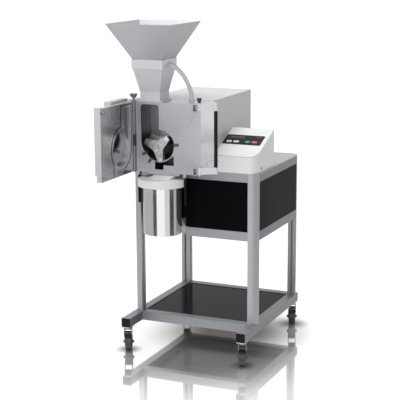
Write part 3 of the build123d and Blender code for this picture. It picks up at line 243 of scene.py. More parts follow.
print("mill: mixing the finishes")
finishes = {
    "anodisedUpright": surfaceMaterial("anodisedUpright", streakGroup, (0.30, 0.31, 0.33), 0.46, 0.12, 0.5, (900, 900, 6), worn=(0.62, 0.62, 0.64), wornAmount=0.3),
    "anodisedLevel": surfaceMaterial("anodisedLevel", streakGroup, (0.25, 0.26, 0.28), 0.46, 0.12, 0.5, (8, 8, 900), worn=(0.62, 0.62, 0.64), wornAmount=0.3),
    "blackPanel": surfaceMaterial("blackPanel", grainGroup, (0.005, 0.005, 0.006), 0.16, 0.10, size=300, bump=0.02, specular=0.012),
    "shelfPanel": surfaceMaterial("shelfPanel", grainGroup, (0.010, 0.011, 0.013), 0.14, 0.10, size=300, bump=0.02, specular=0.02),
    "tablePaint": surfaceMaterial("tablePaint", grainGroup, (0.44, 0.45, 0.47), 0.42, 0.05, size=1400, bump=0.08),
    "housingPaint": surfaceMaterial("housingPaint", grainGroup, (0.60, 0.61, 0.63), 0.38, 0.05, size=1400, bump=0.06),
    "boxPaint": surfaceMaterial("boxPaint", grainGroup, (0.80, 0.80, 0.81), 0.36, 0.04, size=1400, bump=0.06),
    "milledBlock": surfaceMaterial("milledBlock", streakGroup, (0.37, 0.38, 0.40), 0.34, 0.34, 0.8, (4, 4, 180), worn=(0.8, 0.8, 0.8), wornAmount=0.3),
    # painted reflection: near-white tone for the chamber's right face, standing for the bright surroundings mirrored in
    # it
    "paintedSheenSide": surfaceMaterial("paintedSheenSide", streakGroup, (0.92, 0.92, 0.93), 0.42, 0.08, 0.3, (4, 4, 260)),
    "chuteSteel": surfaceMaterial("chuteSteel", streakGroup, (0.36, 0.36, 0.38), 0.26, 0.25, 0.8, (300, 5, 300), bump=0.03),
    "chuteShade": surfaceMaterial("chuteShade", streakGroup, (0.075, 0.075, 0.085), 0.30, 0.35, 0.8, (300, 5, 60), bump=0.04),
    # painted shade: very dark steel for the cavity round the lower rotor and the outlet
    "cavityPaintedShade": surfaceMaterial("cavityPaintedShade", streakGroup, (0.085, 0.085, 0.09), 0.28, 0.40, 0.8, (120, 5, 120), bump=0.05),
    "recessSteel": surfaceMaterial("recessSteel", streakGroup, (0.14, 0.14, 0.15), 0.34, 0.60, 0.8, (5, 60, 12), bump=0.06),
    # dark steel, partly painted shade: the hinge is darkened for the shaded gap beside the door
    "darkSteelAndHingeShade": surfaceMaterial("darkSteelAndHingeShade", streakGroup, (0.16, 0.16, 0.17), 0.34, 0.25, 0.8, (300, 300, 12), bump=0.04),
    "castorSteel": surfaceMaterial("castorSteel", grainGroup, (0.07, 0.07, 0.075), 0.34, 0.30, 0.8, size=250, bump=0.08, worn=(0.6, 0.6, 0.6), wornAmount=0.5),
    # painted shade: darker anodised tone for the right-facing faces of the frame bars
    "anodisedPaintedShadeSide": surfaceMaterial("anodisedPaintedShadeSide", streakGroup, (0.13, 0.135, 0.15), 0.46, 0.12, 0.5, (8, 8, 900), worn=(0.5, 0.5, 0.52), wornAmount=0.3),
    "capPlastic": surfaceMaterial("capPlastic", grainGroup, (0.006, 0.006, 0.006), 0.45, 0.20, size=1200, bump=0.12, specular=0.12),
    "milledDoor": surfaceMaterial("milledDoor", streakGroup, (0.46, 0.47, 0.49), 0.38, 0.10, 0.7, (6, 6, 400), worn=(0.8, 0.8, 0.8), wornAmount=0.3),
    "groundDoor": surfaceMaterial("groundDoor", streakGroup, (0.42, 0.43, 0.44), 0.26, 0.70, 0.85, (5, 130, 14), bump=0.08, worn=(0.7, 0.7, 0.7), wornAmount=0.3),
    "mirrorDoor": surfaceMaterial("mirrorDoor", streakGroup, (0.34, 0.345, 0.36), 0.13, 0.45, 1.0, (5, 300, 5), bump=0.01),
    "clampMetal": surfaceMaterial("clampMetal", streakGroup, (0.56, 0.56, 0.58), 0.36, 0.06, 0.3, (300, 300, 8), worn=(0.9, 0.9, 0.9), wornAmount=0.2),
    "polishedSteel": surfaceMaterial("polishedSteel", streakGroup, (0.62, 0.62, 0.63), 0.16, 0.16, 1.0, (500, 9, 500), bump=0.03),
    "rotorFace": surfaceMaterial("rotorFace", streakGroup, (0.46, 0.46, 0.47), 0.20, 1.30, 1.0, (70, 5, 70), bump=0.10),
    "rotorFlank": surfaceMaterial("rotorFlank", streakGroup, (0.46, 0.46, 0.47), 0.20, 0.30, 1.0, (120, 8, 120), bump=0.05),
    "barSteel": surfaceMaterial("barSteel", streakGroup, (0.09, 0.09, 0.095), 0.34, 0.25, 0.8, (300, 8, 300), bump=0.04),
    "vesselSteel": surfaceMaterial("vesselSteel", streakGroup, (0.52, 0.525, 0.54), 0.10, 0.12, 0.86, (7, 7, 800), bump=0.015),
    "hopperSteel": surfaceMaterial("hopperSteel", streakGroup, (0.56, 0.57, 0.59), 0.42, 0.06, 0.35, (8, 8, 500), bump=0.03, worn=(0.75, 0.75, 0.75), wornAmount=0.4),
    # painted shade: darker tone for the down-facing faces of the hopper's upper cone
    "hopperConePaintedShade": surfaceMaterial("hopperConePaintedShade", streakGroup, (0.38, 0.39, 0.41), 0.42, 0.06, 0.35, (8, 8, 500), bump=0.03, worn=(0.75, 0.75, 0.75), wornAmount=0.4),
    "innerHopper": surfaceMaterial("innerHopper", streakGroup, (0.42, 0.43, 0.44), 0.42, 0.08, 0.6, (8, 8, 500), bump=0.03),
    "zincSteel": surfaceMaterial("zincSteel", grainGroup, (0.42, 0.42, 0.43), 0.32, 0.15, 1.0, size=250, bump=0.05, worn=(0.85, 0.85, 0.85), wornAmount=0.5),
    "castIron": surfaceMaterial("castIron", grainGroup, (0.09, 0.09, 0.10), 0.55, 0.25, 0.3, size=700, bump=0.25),
    "blackPlastic": surfaceMaterial("blackPlastic", grainGroup, (0.012, 0.012, 0.012), 0.42, 0.20, size=1200, bump=0.15),
    "brownPlastic": surfaceMaterial("brownPlastic", grainGroup, (0.12, 0.105, 0.10), 0.40, 0.15, size=1200, bump=0.12),
    "blackRubber": surfaceMaterial("blackRubber", grainGroup, (0.018, 0.018, 0.019), 0.62, 0.25, size=900, bump=0.25),
    "tyreRubber": surfaceMaterial("tyreRubber", grainGroup, (0.060, 0.062, 0.066), 0.50, 0.25, size=700, bump=0.2),
    "hubPlastic": surfaceMaterial("hubPlastic", grainGroup, (0.020, 0.020, 0.021), 0.45, 0.20, size=900, bump=0.1),
    "markPaint": surfaceMaterial("markPaint", grainGroup, (0.70, 0.70, 0.70), 0.40, 0.04, size=1500, bump=0.03),
    "darkMark": surfaceMaterial("darkMark", grainGroup, (0.06, 0.06, 0.065), 0.40, 0.04, size=1500, bump=0.03),
    "hoseRubber": surfaceMaterial("hoseRubber", grainGroup, (0.62, 0.62, 0.63), 0.45, 0.08, size=900, bump=0.08),
    "lidPlastic": surfaceMaterial("lidPlastic", grainGroup, (0.78, 0.78, 0.78), 0.36, 0.04, size=1200, bump=0.05),
    "keyFilm": surfaceMaterial("keyFilm", grainGroup, (0.012, 0.012, 0.014), 0.34, 0.15, size=1500, bump=0.08, specular=0.12),
    "whiteKey": surfaceMaterial("whiteKey", grainGroup, (0.78, 0.78, 0.78), 0.36, 0.04, size=1500, bump=0.05),
    "greenKey": surfaceMaterial("greenKey", grainGroup, (0.0, 0.28, 0.20), 0.34, 0.06, size=1500, bump=0.05),
    "redKey": surfaceMaterial("redKey", grainGroup, (0.75, 0.07, 0.06), 0.34, 0.06, size=1500, bump=0.05),
    "displayGlass": surfaceMaterial("displayGlass", grainGroup, (0.03, 0.032, 0.035), 0.08, 0.05, size=400, bump=0.01, coat=0.6, coatRough=0.03),
    "boardGreen": surfaceMaterial("boardGreen", grainGroup, (0.02, 0.14, 0.07), 0.35, 0.2, size=500, bump=0.1),
}

coats = {
    "anodisedLevel": ["base_frame", "mid_rails", "top_rails"],
    "anodisedUpright": ["legs"],
    "blackPanel": ["front_panel", "side_panels"],
    "shelfPanel": ["shelf_panel"],
    "tablePaint": ["table_top"],
    "housingPaint": ["motor_housing"],
    "boxPaint": ["control_box"],
    "milledBlock": ["chamber_block", "outlet_flange", "interlock_block", "pivot_brackets"],
    "clampMetal": ["clamp_arms"],
    "milledDoor": ["door_plate", "door_cover"],
    "rotorFlank": ["rotor"],
    "barSteel": ["cutting_bars"],
    "polishedSteel": ["rotor_screw", "drive_shaft", "sieve", "door_lugs", "shaft_bearings"],
    "darkSteelAndHingeShade": ["hinge_post"],
    # dark hinge post, partly painted shade of the gap beside the door
    "vesselSteel": ["vessel"],
    "hopperSteel": ["hopper", "hose_fittings"],
    "castIron": ["flywheel", "motor_body"],
    "blackPlastic": ["clamp_knob"],
    "capPlastic": ["end_caps", "clamp_grip", "door_seal", "vessel_latch_left", "vessel_latch_right"],
    "brownPlastic": ["hinge_knob"],
    "blackRubber": ["shaft_seal"],
    "hoseRubber": ["feed_hose"],
    "lidPlastic": ["vessel_lid"],
    "keyFilm": ["keypad"],
    "whiteKey": ["menu_button", "set_button"],
    "greenKey": ["start_button"],
    "redKey": ["stop_button"],
    "displayGlass": ["display"],
    "boardGreen": ["circuit_board"],
    "zincSteel": ["castor_plates"],
    "castorSteel": [],
}
corners = ("front_left", "front_right", "rear_left", "rear_right")
for corner in corners:
    coats["castorSteel"].append("castor_fork_" + corner)
    coats["blackPlastic"].append("brake_pedal_" + corner)
coats["tyreRubber"] = ["castor_wheel_" + corner for corner in corners]


def dress(obj, finish):
    obj.data.materials.clear()
    obj.data.materials.append(finishes[finish])


for finish, names in coats.items():
    for name in names:
        dress(cad[name], finish)


# one node can show more than one finish: the faces that a test picks get another
def dressFaces(name, finish, test):
    mesh = cad[name].data
    mesh.materials.append(finishes[finish])
    slot = len(mesh.materials) - 1
    for face in mesh.polygons:
        if test(face.center, face.normal):
            face.material_index = slot


chamber = {
    "left": -0.215, "right": 0.096, "bottom": 0.839, "top": 1.144,
    "front": frontY - 0.130, "back": frontY + 0.012,
    "rotorX": -0.0984, "rotorZ": 0.9552,
}
hopperSpot = (-0.1417, frontY - 0.0817)


def fromRotorAxis(place):
    return math.hypot(place.x - chamber["rotorX"], place.z - chamber["rotorZ"])


def insideChamber(place, normal):
    if place.y < chamber["front"] + 0.001 or place.y > chamber["back"] - 0.002:
        return False
    if fromRotorAxis(place) < 0.080:
        return True
    inChute = -0.186 < place.x < -0.099 and place.z < chamber["top"] - 0.005
    inOutlet = -0.122 < place.x < -0.030 and place.z < chamber["rotorZ"] and place.z > chamber["bottom"] + 0.001
    return inChute or inOutlet


def facesHopperInside(place, normal):
    outward = normal.x * (place.x - hopperSpot[0]) + normal.y * (place.y - hopperSpot[1])
    return outward < -0.001 and abs(normal.z) < 0.98


# painted reflection: the chamber's right face gets the near-white tone
dressFaces("chamber_block", "paintedSheenSide", lambda place, normal: normal.x > 0.9 and place.x > chamber["right"] - 0.001)
dressFaces("chamber_block", "chuteSteel", insideChamber)
# painted shade: the chamber's cavity below the rotor middle and the outlet are darkened
dressFaces("chamber_block", "cavityPaintedShade", lambda place, normal: insideChamber(place, normal) and place.z < chamber["rotorZ"] + 0.03)
dressFaces("chamber_block", "chuteShade", lambda place, normal: insideChamber(place, normal) and normal.x > 0.5)
# painted shade: the right-facing faces of the frame bars get the darker anodised tone
for name in ("base_frame", "mid_rails", "top_rails"):
    dressFaces(name, "anodisedPaintedShadeSide", lambda place, normal: normal.x > 0.9)
dressFaces("hopper", "innerHopper", facesHopperInside)
# painted shade: the down-facing faces of the upper cone get the darker tone
dressFaces("hopper", "hopperConePaintedShade", lambda place, normal: place.z > 1.327 and -0.95 < normal.z < -0.2)
dressFaces("rotor", "rotorFace", lambda place, normal: normal.y < -0.9 and place.y < frontY - 0.147)
dressFaces("door_plate", "groundDoor", lambda place, normal: place.x > -0.2185 and normal.x > 0.9)
hingeSpot = (-0.2186, frontY - 0.131)
# dark hinge knuckle faces, partly painted shade of the gap at the hinge
dressFaces("door_plate", "darkSteelAndHingeShade", lambda place, normal: math.hypot(place.x - hingeSpot[0], place.y - hingeSpot[1]) < 0.0092 and abs(normal.z) < 0.5)
dressFaces("door_plate", "mirrorDoor", lambda place, normal: -0.2400 < place.x < -0.2182 and normal.x > 0.9)
dressFaces("door_plate", "recessSteel", lambda place, normal: -0.2300 < place.x < -0.2270 and normal.x > 0.9)
dressFaces("outlet_flange", "lidPlastic", lambda place, normal: place.z < chamber["bottom"] - 0.0095)
for corner in corners:
    dressFaces("castor_wheel_" + corner, "hubPlastic", lambda place, normal: abs(normal.z) < 0.2 and abs(place.z - 0.0375) < 0.031)


edgeWidths = {
    "base_frame": 0.0008, "legs": 0.0006, "mid_rails": 0.0008, "top_rails": 0.0008, "table_top": 0.0012,
    "chamber_block": 0.0008, "door_plate": 0.0010, "door_cover": 0.0020, "control_box": 0.0035,
    "clamp_arms": 0.0020, "interlock_block": 0.0015, "motor_housing": 0.0015, "rotor": 0.0004,
    "cutting_bars": 0.0004, "outlet_flange": 0.0005, "end_caps": 0.0015, "vessel": 0.0004,
}
for name, width in edgeWidths.items():
    rounding = cad[name].modifiers.new("softEdge", "BEVEL")
    rounding.width = width
    rounding.segments = 2
    rounding.limit_method = "ANGLE"
    rounding.angle_limit = math.radians(35)
    rounding.harden_normals = False


# the hose
hose = {
    "radius": 0.009,
    "points": [
        (-0.06895, frontY - 0.081, 1.3006),
        (-0.05795, frontY - 0.081, 1.3006),
        (-0.03495, frontY - 0.067, 1.281),
        (-0.011, frontY - 0.0535, 1.247),
        (0.007, frontY - 0.045, 1.205),
        (0.016, frontY - 0.0406, 1.166),
        (0.016, frontY - 0.0406, 1.144),
    ],
}


def buildHose():
    curve = bpy.data.curves.new("feedHose", "CURVE")
    curve.dimensions = "3D"
    spline = curve.splines.new("NURBS")
    spline.points.add(len(hose["points"]) - 1)
    for point, place in zip(spline.points, hose["points"]):
        point.co = (*place, 1.0)
    spline.order_u = 3
    spline.use_endpoint_u = True
    spline.resolution_u = 12
    curve.bevel_depth = hose["radius"]
    curve.bevel_resolution = 8
    obj = bpy.data.objects.new("feedHose", curve)
    bpy.context.scene.collection.objects.link(obj)
    obj.data.materials.append(finishes["hoseRubber"])
    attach(obj, "machine")
    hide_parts("feed_hose")


buildHose()


# mesh helpers for turned and cut pieces
def turnTowards(axis):
    return Vector(axis).normalized().to_track_quat("Z", "Y").to_matrix()


def ringPoints(centre, turn, reach, height, hexagon=False, count=24, stretch=1.0):
    points = []
    for step in range(count):
        angle = 2 * math.pi * step / count
        radius = reach
        if hexagon:
            radius = reach * math.cos(math.pi / 6) / math.cos(angle % (math.pi / 3) - math.pi / 6)
        local = Vector((radius * math.cos(angle), stretch * radius * math.sin(angle), height))
        points.append(Vector(centre) + turn @ local)
    return points


def skinRings(bm, rings):
    loops = [[bm.verts.new(point) for point in ring] for ring in rings]
    for low, high in zip(loops, loops[1:]):
        for index in range(len(low)):
            after = (index + 1) % len(low)
            bm.faces.new((low[index], low[after], high[after], high[index]))
    bm.faces.new(list(reversed(loops[0])))
    bm.faces.new(loops[-1])


def turnedPiece(bm, centre, axis, profile, hexFrom=None, stretch=1.0, count=24):
    # profile is a list of (radius, height); rings from hexFrom on are hexagons
    turn = turnTowards(axis)
    rings = []
    for index, (radius, height) in enumerate(profile):
        hexagon = hexFrom is not None and index >= hexFrom
        rings.append(ringPoints(centre, turn, radius, height, hexagon, count, stretch))
    skinRings(bm, rings)


def socketScrew(bm, centre, axis, radius, height):
    chamfer = 0.12 * radius
    key = 0.52 * radius
    profile = [(radius, -0.0002), (radius, height - chamfer), (radius - chamfer, height), (key, height), (key * 0.9, height * 0.35)]
    turnedPiece(bm, centre, axis, profile, hexFrom=3)


def plateFromOutline(bm, corners3, away):
    # a flat outline pushed out along away
    low = [bm.verts.new(Vector(corner)) for corner in corners3]
    high = [bm.verts.new(Vector(corner) + Vector(away)) for corner in corners3]
    bm.faces.new(list(reversed(low)))
    bm.faces.new(high)
    for index in range(len(low)):
        after = (index + 1) % len(low)
        bm.faces.new((low[index], low[after], high[after], high[index]))


def finishPiece(name, bm, finish, body, sharpFrom=35, edge=0.0):
    bmesh.ops.recalc_face_normals(bm, faces=bm.faces)
    for face in bm.faces:
        face.smooth = True
    mesh = bpy.data.meshes.new(name)
    bm.to_mesh(mesh)
    bm.free()
    mesh.set_sharp_from_angle(angle=math.radians(sharpFrom))
    mesh.materials.append(finishes[finish])
    piece = bpy.data.objects.new(name, mesh)
    bpy.context.scene.collection.objects.link(piece)
    if edge:
        rounding = piece.modifiers.new("softEdge", "BEVEL")
        rounding.width = edge
        rounding.segments = 2
        rounding.limit_method = "ANGLE"
    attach(piece, body)
    return piece


print("mill: screws and fittings")
screwSpots = {
    "chamberScrews": {
        "axis": (1, 0, 0), "radius": 0.0032, "height": 0.0008, "finish": "darkMark", "slot": "black_plastic",
        "spots": [
            (0.096, frontY - 0.120, 0.988), (0.096, frontY - 0.064, 0.879), (0.096, frontY - 0.093, 0.846),
        ],
    },
    "tableScrews": {
        "axis": (0, 0, 1), "radius": 0.0050, "height": 0.0012, "finish": "zincSteel", "slot": "zinc_steel",
        "spots": [
            (side * 0.268, frontY + back, 0.837) for side in (-1, 1) for back in (0.052, 0.322, 0.520)
        ],
    },
    "housingScrews": {
        "axis": (0, 1, 0), "radius": 0.0042, "height": 0.0016, "finish": "zincSteel", "slot": "zinc_steel",
        "spots": [
            (across, frontY + 0.450, up) for across in (-0.203, -0.0595, 0.084) for up in (0.852, 1.130)
        ],
    },
    "coverScrews": {
        "axis": (-1, 0, 0), "radius": 0.0040, "height": 0.0016, "finish": "zincSteel", "slot": "zinc_steel",
        "spots": [
            (-0.2725, frontY + along, up) for along in (-0.156, -0.289) for up in (0.862, 1.003, 1.144)
        ],
    },
}


def buildScrews():
    for name, row in screwSpots.items():
        bm = bmesh.new()
        for spot in row["spots"]:
            socketScrew(bm, spot, row["axis"], row["radius"], row["height"])
        body = "door" if name == "coverScrews" else "machine"
        finishPiece(name, bm, row["finish"], body)


buildScrews()


# the two door bolts, with a washer, a tapered pin and a key socket
doorBolts = {"x": -0.218, "y": -0.499, "levels": (0.855, 1.1275), "washer": 0.0076, "pin": 0.0050, "reach": 0.0135}


def buildDoorBolts():
    bm = bmesh.new()
    for level in doorBolts["levels"]:
        washer, pin, reach = doorBolts["washer"], doorBolts["pin"], doorBolts["reach"]
        profile = [
            (washer, 0.0001), (washer, 0.0018), (washer - 0.0006, 0.0024), (pin + 0.0014, 0.0024),
            (pin + 0.0006, 0.0040), (pin, 0.0060), (pin - 0.0004, reach - 0.0010), (pin - 0.0014, reach),
            (0.0022, reach), (0.0020, reach - 0.0040),
        ]
        turnedPiece(bm, (doorBolts["x"], doorBolts["y"], level), (1, 0, 0), profile, hexFrom=8)
    piece = finishPiece("doorBolts", bm, "darkSteelAndHingeShade", "door")
    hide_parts("door_lugs")


buildDoorBolts()


# black sleeve on the middle hinge knuckle
hingeSleeve = {"x": -0.2186, "y": frontY - 0.131, "low": 0.950, "high": 1.002, "radius": 0.0090}


def buildHingeSleeve():
    bm = bmesh.new()
    radius, low, high = hingeSleeve["radius"], hingeSleeve["low"], hingeSleeve["high"]
    profile = [(radius - 0.0006, low), (radius, low + 0.0008)]
    for groove in range(1, 5):
        level = low + groove * (high - low) / 5
        profile += [(radius, level - 0.0008), (radius - 0.0004, level), (radius, level + 0.0008)]
    profile += [(radius, high - 0.0008), (radius - 0.0006, high)]
    turnedPiece(bm, (hingeSleeve["x"], hingeSleeve["y"], 0.0), (0, 0, 1), profile, count=32)
    finishPiece("hingeSleeve", bm, "blackPlastic", "machine")


buildHingeSleeve()


# rubber lip along the hinge edge of the door
hingeLip = {"x": -0.2180, "near": frontY - 0.1412, "width": 0.0026, "low": 0.925, "high": 1.128, "proud": 0.0003}


def buildHingeLip():
    bm = bmesh.new()
    x, near, far = hingeLip["x"], hingeLip["near"], hingeLip["near"] - hingeLip["width"]
    low, high, proud = hingeLip["low"], hingeLip["high"], hingeLip["proud"]
    section = [(0.0, near), (proud * 0.7, near - 0.0003), (proud, (near + far) / 2), (proud * 0.7, far + 0.0003), (0.0, far)]
    outline = [(x - 0.0001 + out, along, low) for out, along in section]
    plateFromOutline(bm, outline, (0, 0, high - low))
    finishPiece("hingeLip", bm, "blackRubber", "door")


buildHingeLip()


# front of the rotor: three bolted knives and the pressed ring round the screw
rotorFront = {"y": frontY - 0.148, "firstBlade": 40.0, "tip": 0.0640, "proud": 0.0005}


def rotorPoint(reach, angle, forward):
    turn = math.radians(angle)
    return (
        chamber["rotorX"] + reach * math.cos(turn), rotorFront["y"] - forward,
        chamber["rotorZ"] + reach * math.sin(turn),
    )


def buildRotorFront():
    knives = bmesh.new()
    bolts = bmesh.new()
    for blade in range(3):
        middle = rotorFront["firstBlade"] + 120 * blade
        outline = [
            rotorPoint(rotorFront["tip"], middle + 9.4, 0.0), rotorPoint(rotorFront["tip"], middle - 6.0, 0.0),
            rotorPoint(0.0480, middle - 11.0, 0.0), rotorPoint(0.0440, middle + 9.0, 0.0),
        ]
        plateFromOutline(knives, outline, (0, -rotorFront["proud"], 0))
        socketScrew(bolts, rotorPoint(0.0350, middle, 0.0), (0, -1, 0), 0.0045, 0.0005)
    ring = [(0.0178, -0.0002), (0.0178, 0.0003), (0.0170, 0.0006), (0.0165, 0.0002)]
    turnedPiece(bolts, (chamber["rotorX"], rotorFront["y"], chamber["rotorZ"]), (0, -1, 0), ring, count=48)
    finishPiece("rotorKnives", knives, "polishedSteel", "rotor_shaft")
    finishPiece("rotorBolts", bolts, "rotorFace", "rotor_shaft")


buildRotorFront()


# marks on the control panel
panelFace = {
    "front": frontY, "low": 0.9095, "slope": math.radians(22.1), "film": 0.0010, "keyTop": 0.0024, "ink": 0.00012,
    "keys": {
        "menu_button": (0.1270, 0.1095), "set_button": (0.1600, 0.1100),
        "start_button": (0.2130, 0.1108), "stop_button": (0.2453, 0.1108),
    },
}


def onPanel(x, back, height):
    slope = panelFace["slope"]
    return Vector((x, panelFace["front"] + back, panelFace["low"] + back * math.tan(slope))) + height * Vector(
        (0, -math.sin(slope), math.cos(slope))
    )


def inkPatch(bm, x, back, outline, height):
    slope = panelFace["slope"]
    normal = Vector((0, -math.sin(slope), math.cos(slope)))
    places = [onPanel(x + across, back + along * math.cos(slope), height - 0.00004) for across, along in outline]
    plateFromOutline(bm, places, normal * panelFace["ink"])


def bar(width, depth, shiftX=0.0, shiftY=0.0):
    return [
        (shiftX - width / 2, shiftY - depth / 2), (shiftX + width / 2, shiftY - depth / 2),
        (shiftX + width / 2, shiftY + depth / 2), (shiftX - width / 2, shiftY + depth / 2),
    ]


keySymbols = {
    "menu_button": ("darkMark", [bar(0.0085, 0.0011, 0, shift) for shift in (-0.0024, 0.0, 0.0024)]),
    "set_button": ("darkMark", [[(-0.0035, -0.0030), (0.0040, 0.0), (-0.0035, 0.0030)]]),
    "start_button": ("markPaint", [bar(0.0016, 0.0072)]),
    "stop_button": ("markPaint", [
        [(0.0034, 0.0007), (-0.0034, 0.0007), (-0.0034, -0.0007), (0.0034, -0.0007)],
    ]),
}


def buildPanelMarks():
    for key, (finish, patches) in keySymbols.items():
        bm = bmesh.new()
        x, back = panelFace["keys"][key]
        for outline in patches:
            inkPatch(bm, x, back, outline, panelFace["keyTop"])
        finishPiece(key + "Mark", bm, finish, key)
    bm = bmesh.new()
    for spot in range(4):
        inkPatch(bm, 0.2425 + 0.0075 * spot, 0.151, bar(0.0036, 0.0016), panelFace["film"])
    for across in (0.1115, 0.1865):
        inkPatch(bm, across, 0.141, bar(0.0006, 0.0130), panelFace["film"])
    inkPatch(bm, 0.1495, 0.1505, bar(0.0700, 0.0006), panelFace["film"])
    finishPiece("panelMarks", bm, "markPaint", "machine")


buildPanelMarks()


# oval cable grommet in the side of the control box
grommet = {"place": (0.295, frontY + 0.0662, 0.852), "radius": 0.0042, "stretch": 1.15}


def buildGrommet():
    bm = bmesh.new()
    radius = grommet["radius"]
    profile = [(radius, -0.0005), (radius, 0.0010), (radius - 0.0006, 0.0014), (radius - 0.0016, 0.0010), (radius - 0.0020, 0.0002)]
    turnedPiece(bm, grommet["place"], (1, 0, 0), profile, stretch=grommet["stretch"])
    finishPiece("boxGrommet", bm, "capPlastic", "machine")


buildGrommet()


# dark parting line round the front of the control box, below the sloped top
boxSeam = {
    "left": 0.0985, "cornerX": 0.255, "radius": 0.040, "level": 0.9078, "proud": 0.00025, "high": 0.0008, "turn": 75, "steps": 10,
}


def buildBoxSeam():
    bm = bmesh.new()
    radius, slope = boxSeam["radius"], panelFace["slope"]
    middle = Vector((boxSeam["cornerX"], frontY + radius, 0.0))
    stations = [(Vector((boxSeam["left"], frontY, 0.0)), Vector((0, -1, 0)))]
    for step in range(boxSeam["steps"] + 1):
        angle = math.radians(boxSeam["turn"] * step / boxSeam["steps"])
        out = Vector((math.sin(angle), -math.cos(angle), 0))
        stations.append((middle + radius * out, out))
    rings = []
    for place, out in stations:
        level = boxSeam["level"] + (place.y - frontY) * math.tan(slope)
        rings.append([
            place + reach * out + Vector((0, 0, level + up))
            for reach, up in ((-0.0006, 0.0), (boxSeam["proud"], 0.0), (boxSeam["proud"], boxSeam["high"]), (-0.0006, boxSeam["high"]))
        ])
    skinRings(bm, rings)
    finishPiece("boxSeam", bm, "capPlastic", "machine")


buildBoxSeam()


# inner lip of the door cover, above the top of the door
coverLip = {"near": frontY - 0.1465, "far": frontY - 0.2985, "low": 1.1461, "high": 1.1555, "thick": 0.0010}


def buildCoverLip():
    bm = bmesh.new()
    innerX = max(vert.co.x for vert in cad["door_cover"].data.vertices)
    near, far, low, high = coverLip["near"], coverLip["far"], coverLip["low"], coverLip["high"]
    x = innerX - coverLip["thick"] - 0.0002
    plateFromOutline(bm, [(x, near, low), (x, far, low), (x, far, high), (x, near, high)], (coverLip["thick"], 0, 0))
    finishPiece("coverLip", bm, "milledDoor", "door")


buildCoverLip()


# bolts under the castor plates and caps on the wheel hubs
castors = {
    "front_left": (-0.278, frontY - 0.107), "front_right": (0.278, frontY - 0.107),
    "rear_left": (-0.278, frontY + 0.538), "rear_right": (0.278, frontY + 0.538),
}
castorHardware = {"plateLow": 0.1155, "trail": 0.022, "heading": 112.0, "wheelRadius": 0.0375, "hubSide": 0.0145}


def buildCastorHardware():
    bolts = bmesh.new()
    for x, y in castors.values():
        for across in (-0.0145, 0.0145):
            for along in (-0.0185, 0.0185):
                profile = [(0.0036, -0.0001), (0.0036, 0.0022), (0.0030, 0.0027)]
                turnedPiece(bolts, (x + across, y + along, castorHardware["plateLow"]), (0, 0, -1), profile, hexFrom=0)
    finishPiece("castorBolts", bolts, "zincSteel", "machine", sharpFrom=25)
    heading = math.radians(castorHardware["heading"])
    for corner, (x, y) in castors.items():
        caps = bmesh.new()
        axle = Vector((x + castorHardware["trail"] * math.cos(heading), y + castorHardware["trail"] * math.sin(heading), castorHardware["wheelRadius"]))
        for side in (-1, 1):
            out = side * Vector((math.sin(heading), -math.cos(heading), 0))
            profile = [(0.0300, -0.0004), (0.0300, 0.0003), (0.0290, 0.0007), (0.0262, 0.0007), (0.0255, 0.0001)]
            ringTurn = turnTowards(out)
            rings = [ringPoints(axle + out * castorHardware["hubSide"], ringTurn, radius, height, count=36) for radius, height in profile]
            rings.append(ringPoints(axle + out * castorHardware["hubSide"], ringTurn, 0.0255, -0.0004, count=36))
            loops = [[caps.verts.new(point) for point in ring] for ring in rings]
            for low, high in zip(loops, loops[1:] + loops[:1]):
                for index in range(36):
                    after = (index + 1) % 36
                    caps.faces.new((low[index], low[after], high[after], high[index]))
        finishPiece("wheelRings_" + corner, caps, "hubPlastic", "wheel_" + corner)


buildCastorHardware()


# studio and camera
studio = {
    "floorGlow": 1.0,
    "floorGlowNear": 0.30,
    "mirrorNear": 0.84,
    "mirrorFar": 0.62,
    "ambient": 0.29,
    "floorShade": [
        ((0.04, 0.26), 0.10, 0.46, 0.10), ((-0.286, -0.168), 0.005, 0.075, 0.15), ((0.270, -0.168), 0.005, 0.075, 0.15),
        ((-0.286, 0.477), 0.005, 0.11, 0.15), ((0.270, 0.477), 0.005, 0.11, 0.15),
    ],
    "lamps": {
        "overhead": {"place": (-0.3, -0.5, 3.8), "aim": (0, 0, 0.6), "size": 2.4, "power": 84},
        "leftFront": {"place": (-2.6, -2.8, 2.0), "aim": (0, -0.1, 0.8), "size": 2.0, "power": 9},
        "front": {"place": (0.7, -3.8, 1.6), "aim": (-0.1, 0, 0.8), "size": 3.9, "power": 42},
        "rightSide": {"place": (3.4, -0.4, 1.8), "aim": (0, 0.1, 0.8), "size": 2.2, "power": 1.5},
    },
    "cardCentre": (-0.097, -0.191),
    "cardDistance": 2.2,
    "cardHeight": 0.38,
    "cardReach": 1.75,
    "cards": {
        "leftGreyCard": {"from": -130.0, "to": -31.0, "tone": 0.74},
        "leftCard": {"from": -31.0, "to": -9.0, "tone": 0.02},
        "rightCard": {"from": 68.0, "to": 95.0, "tone": 0.01},
        "rightGreyCard": {"from": 95.0, "to": 150.0, "tone": 0.74},
    },
}


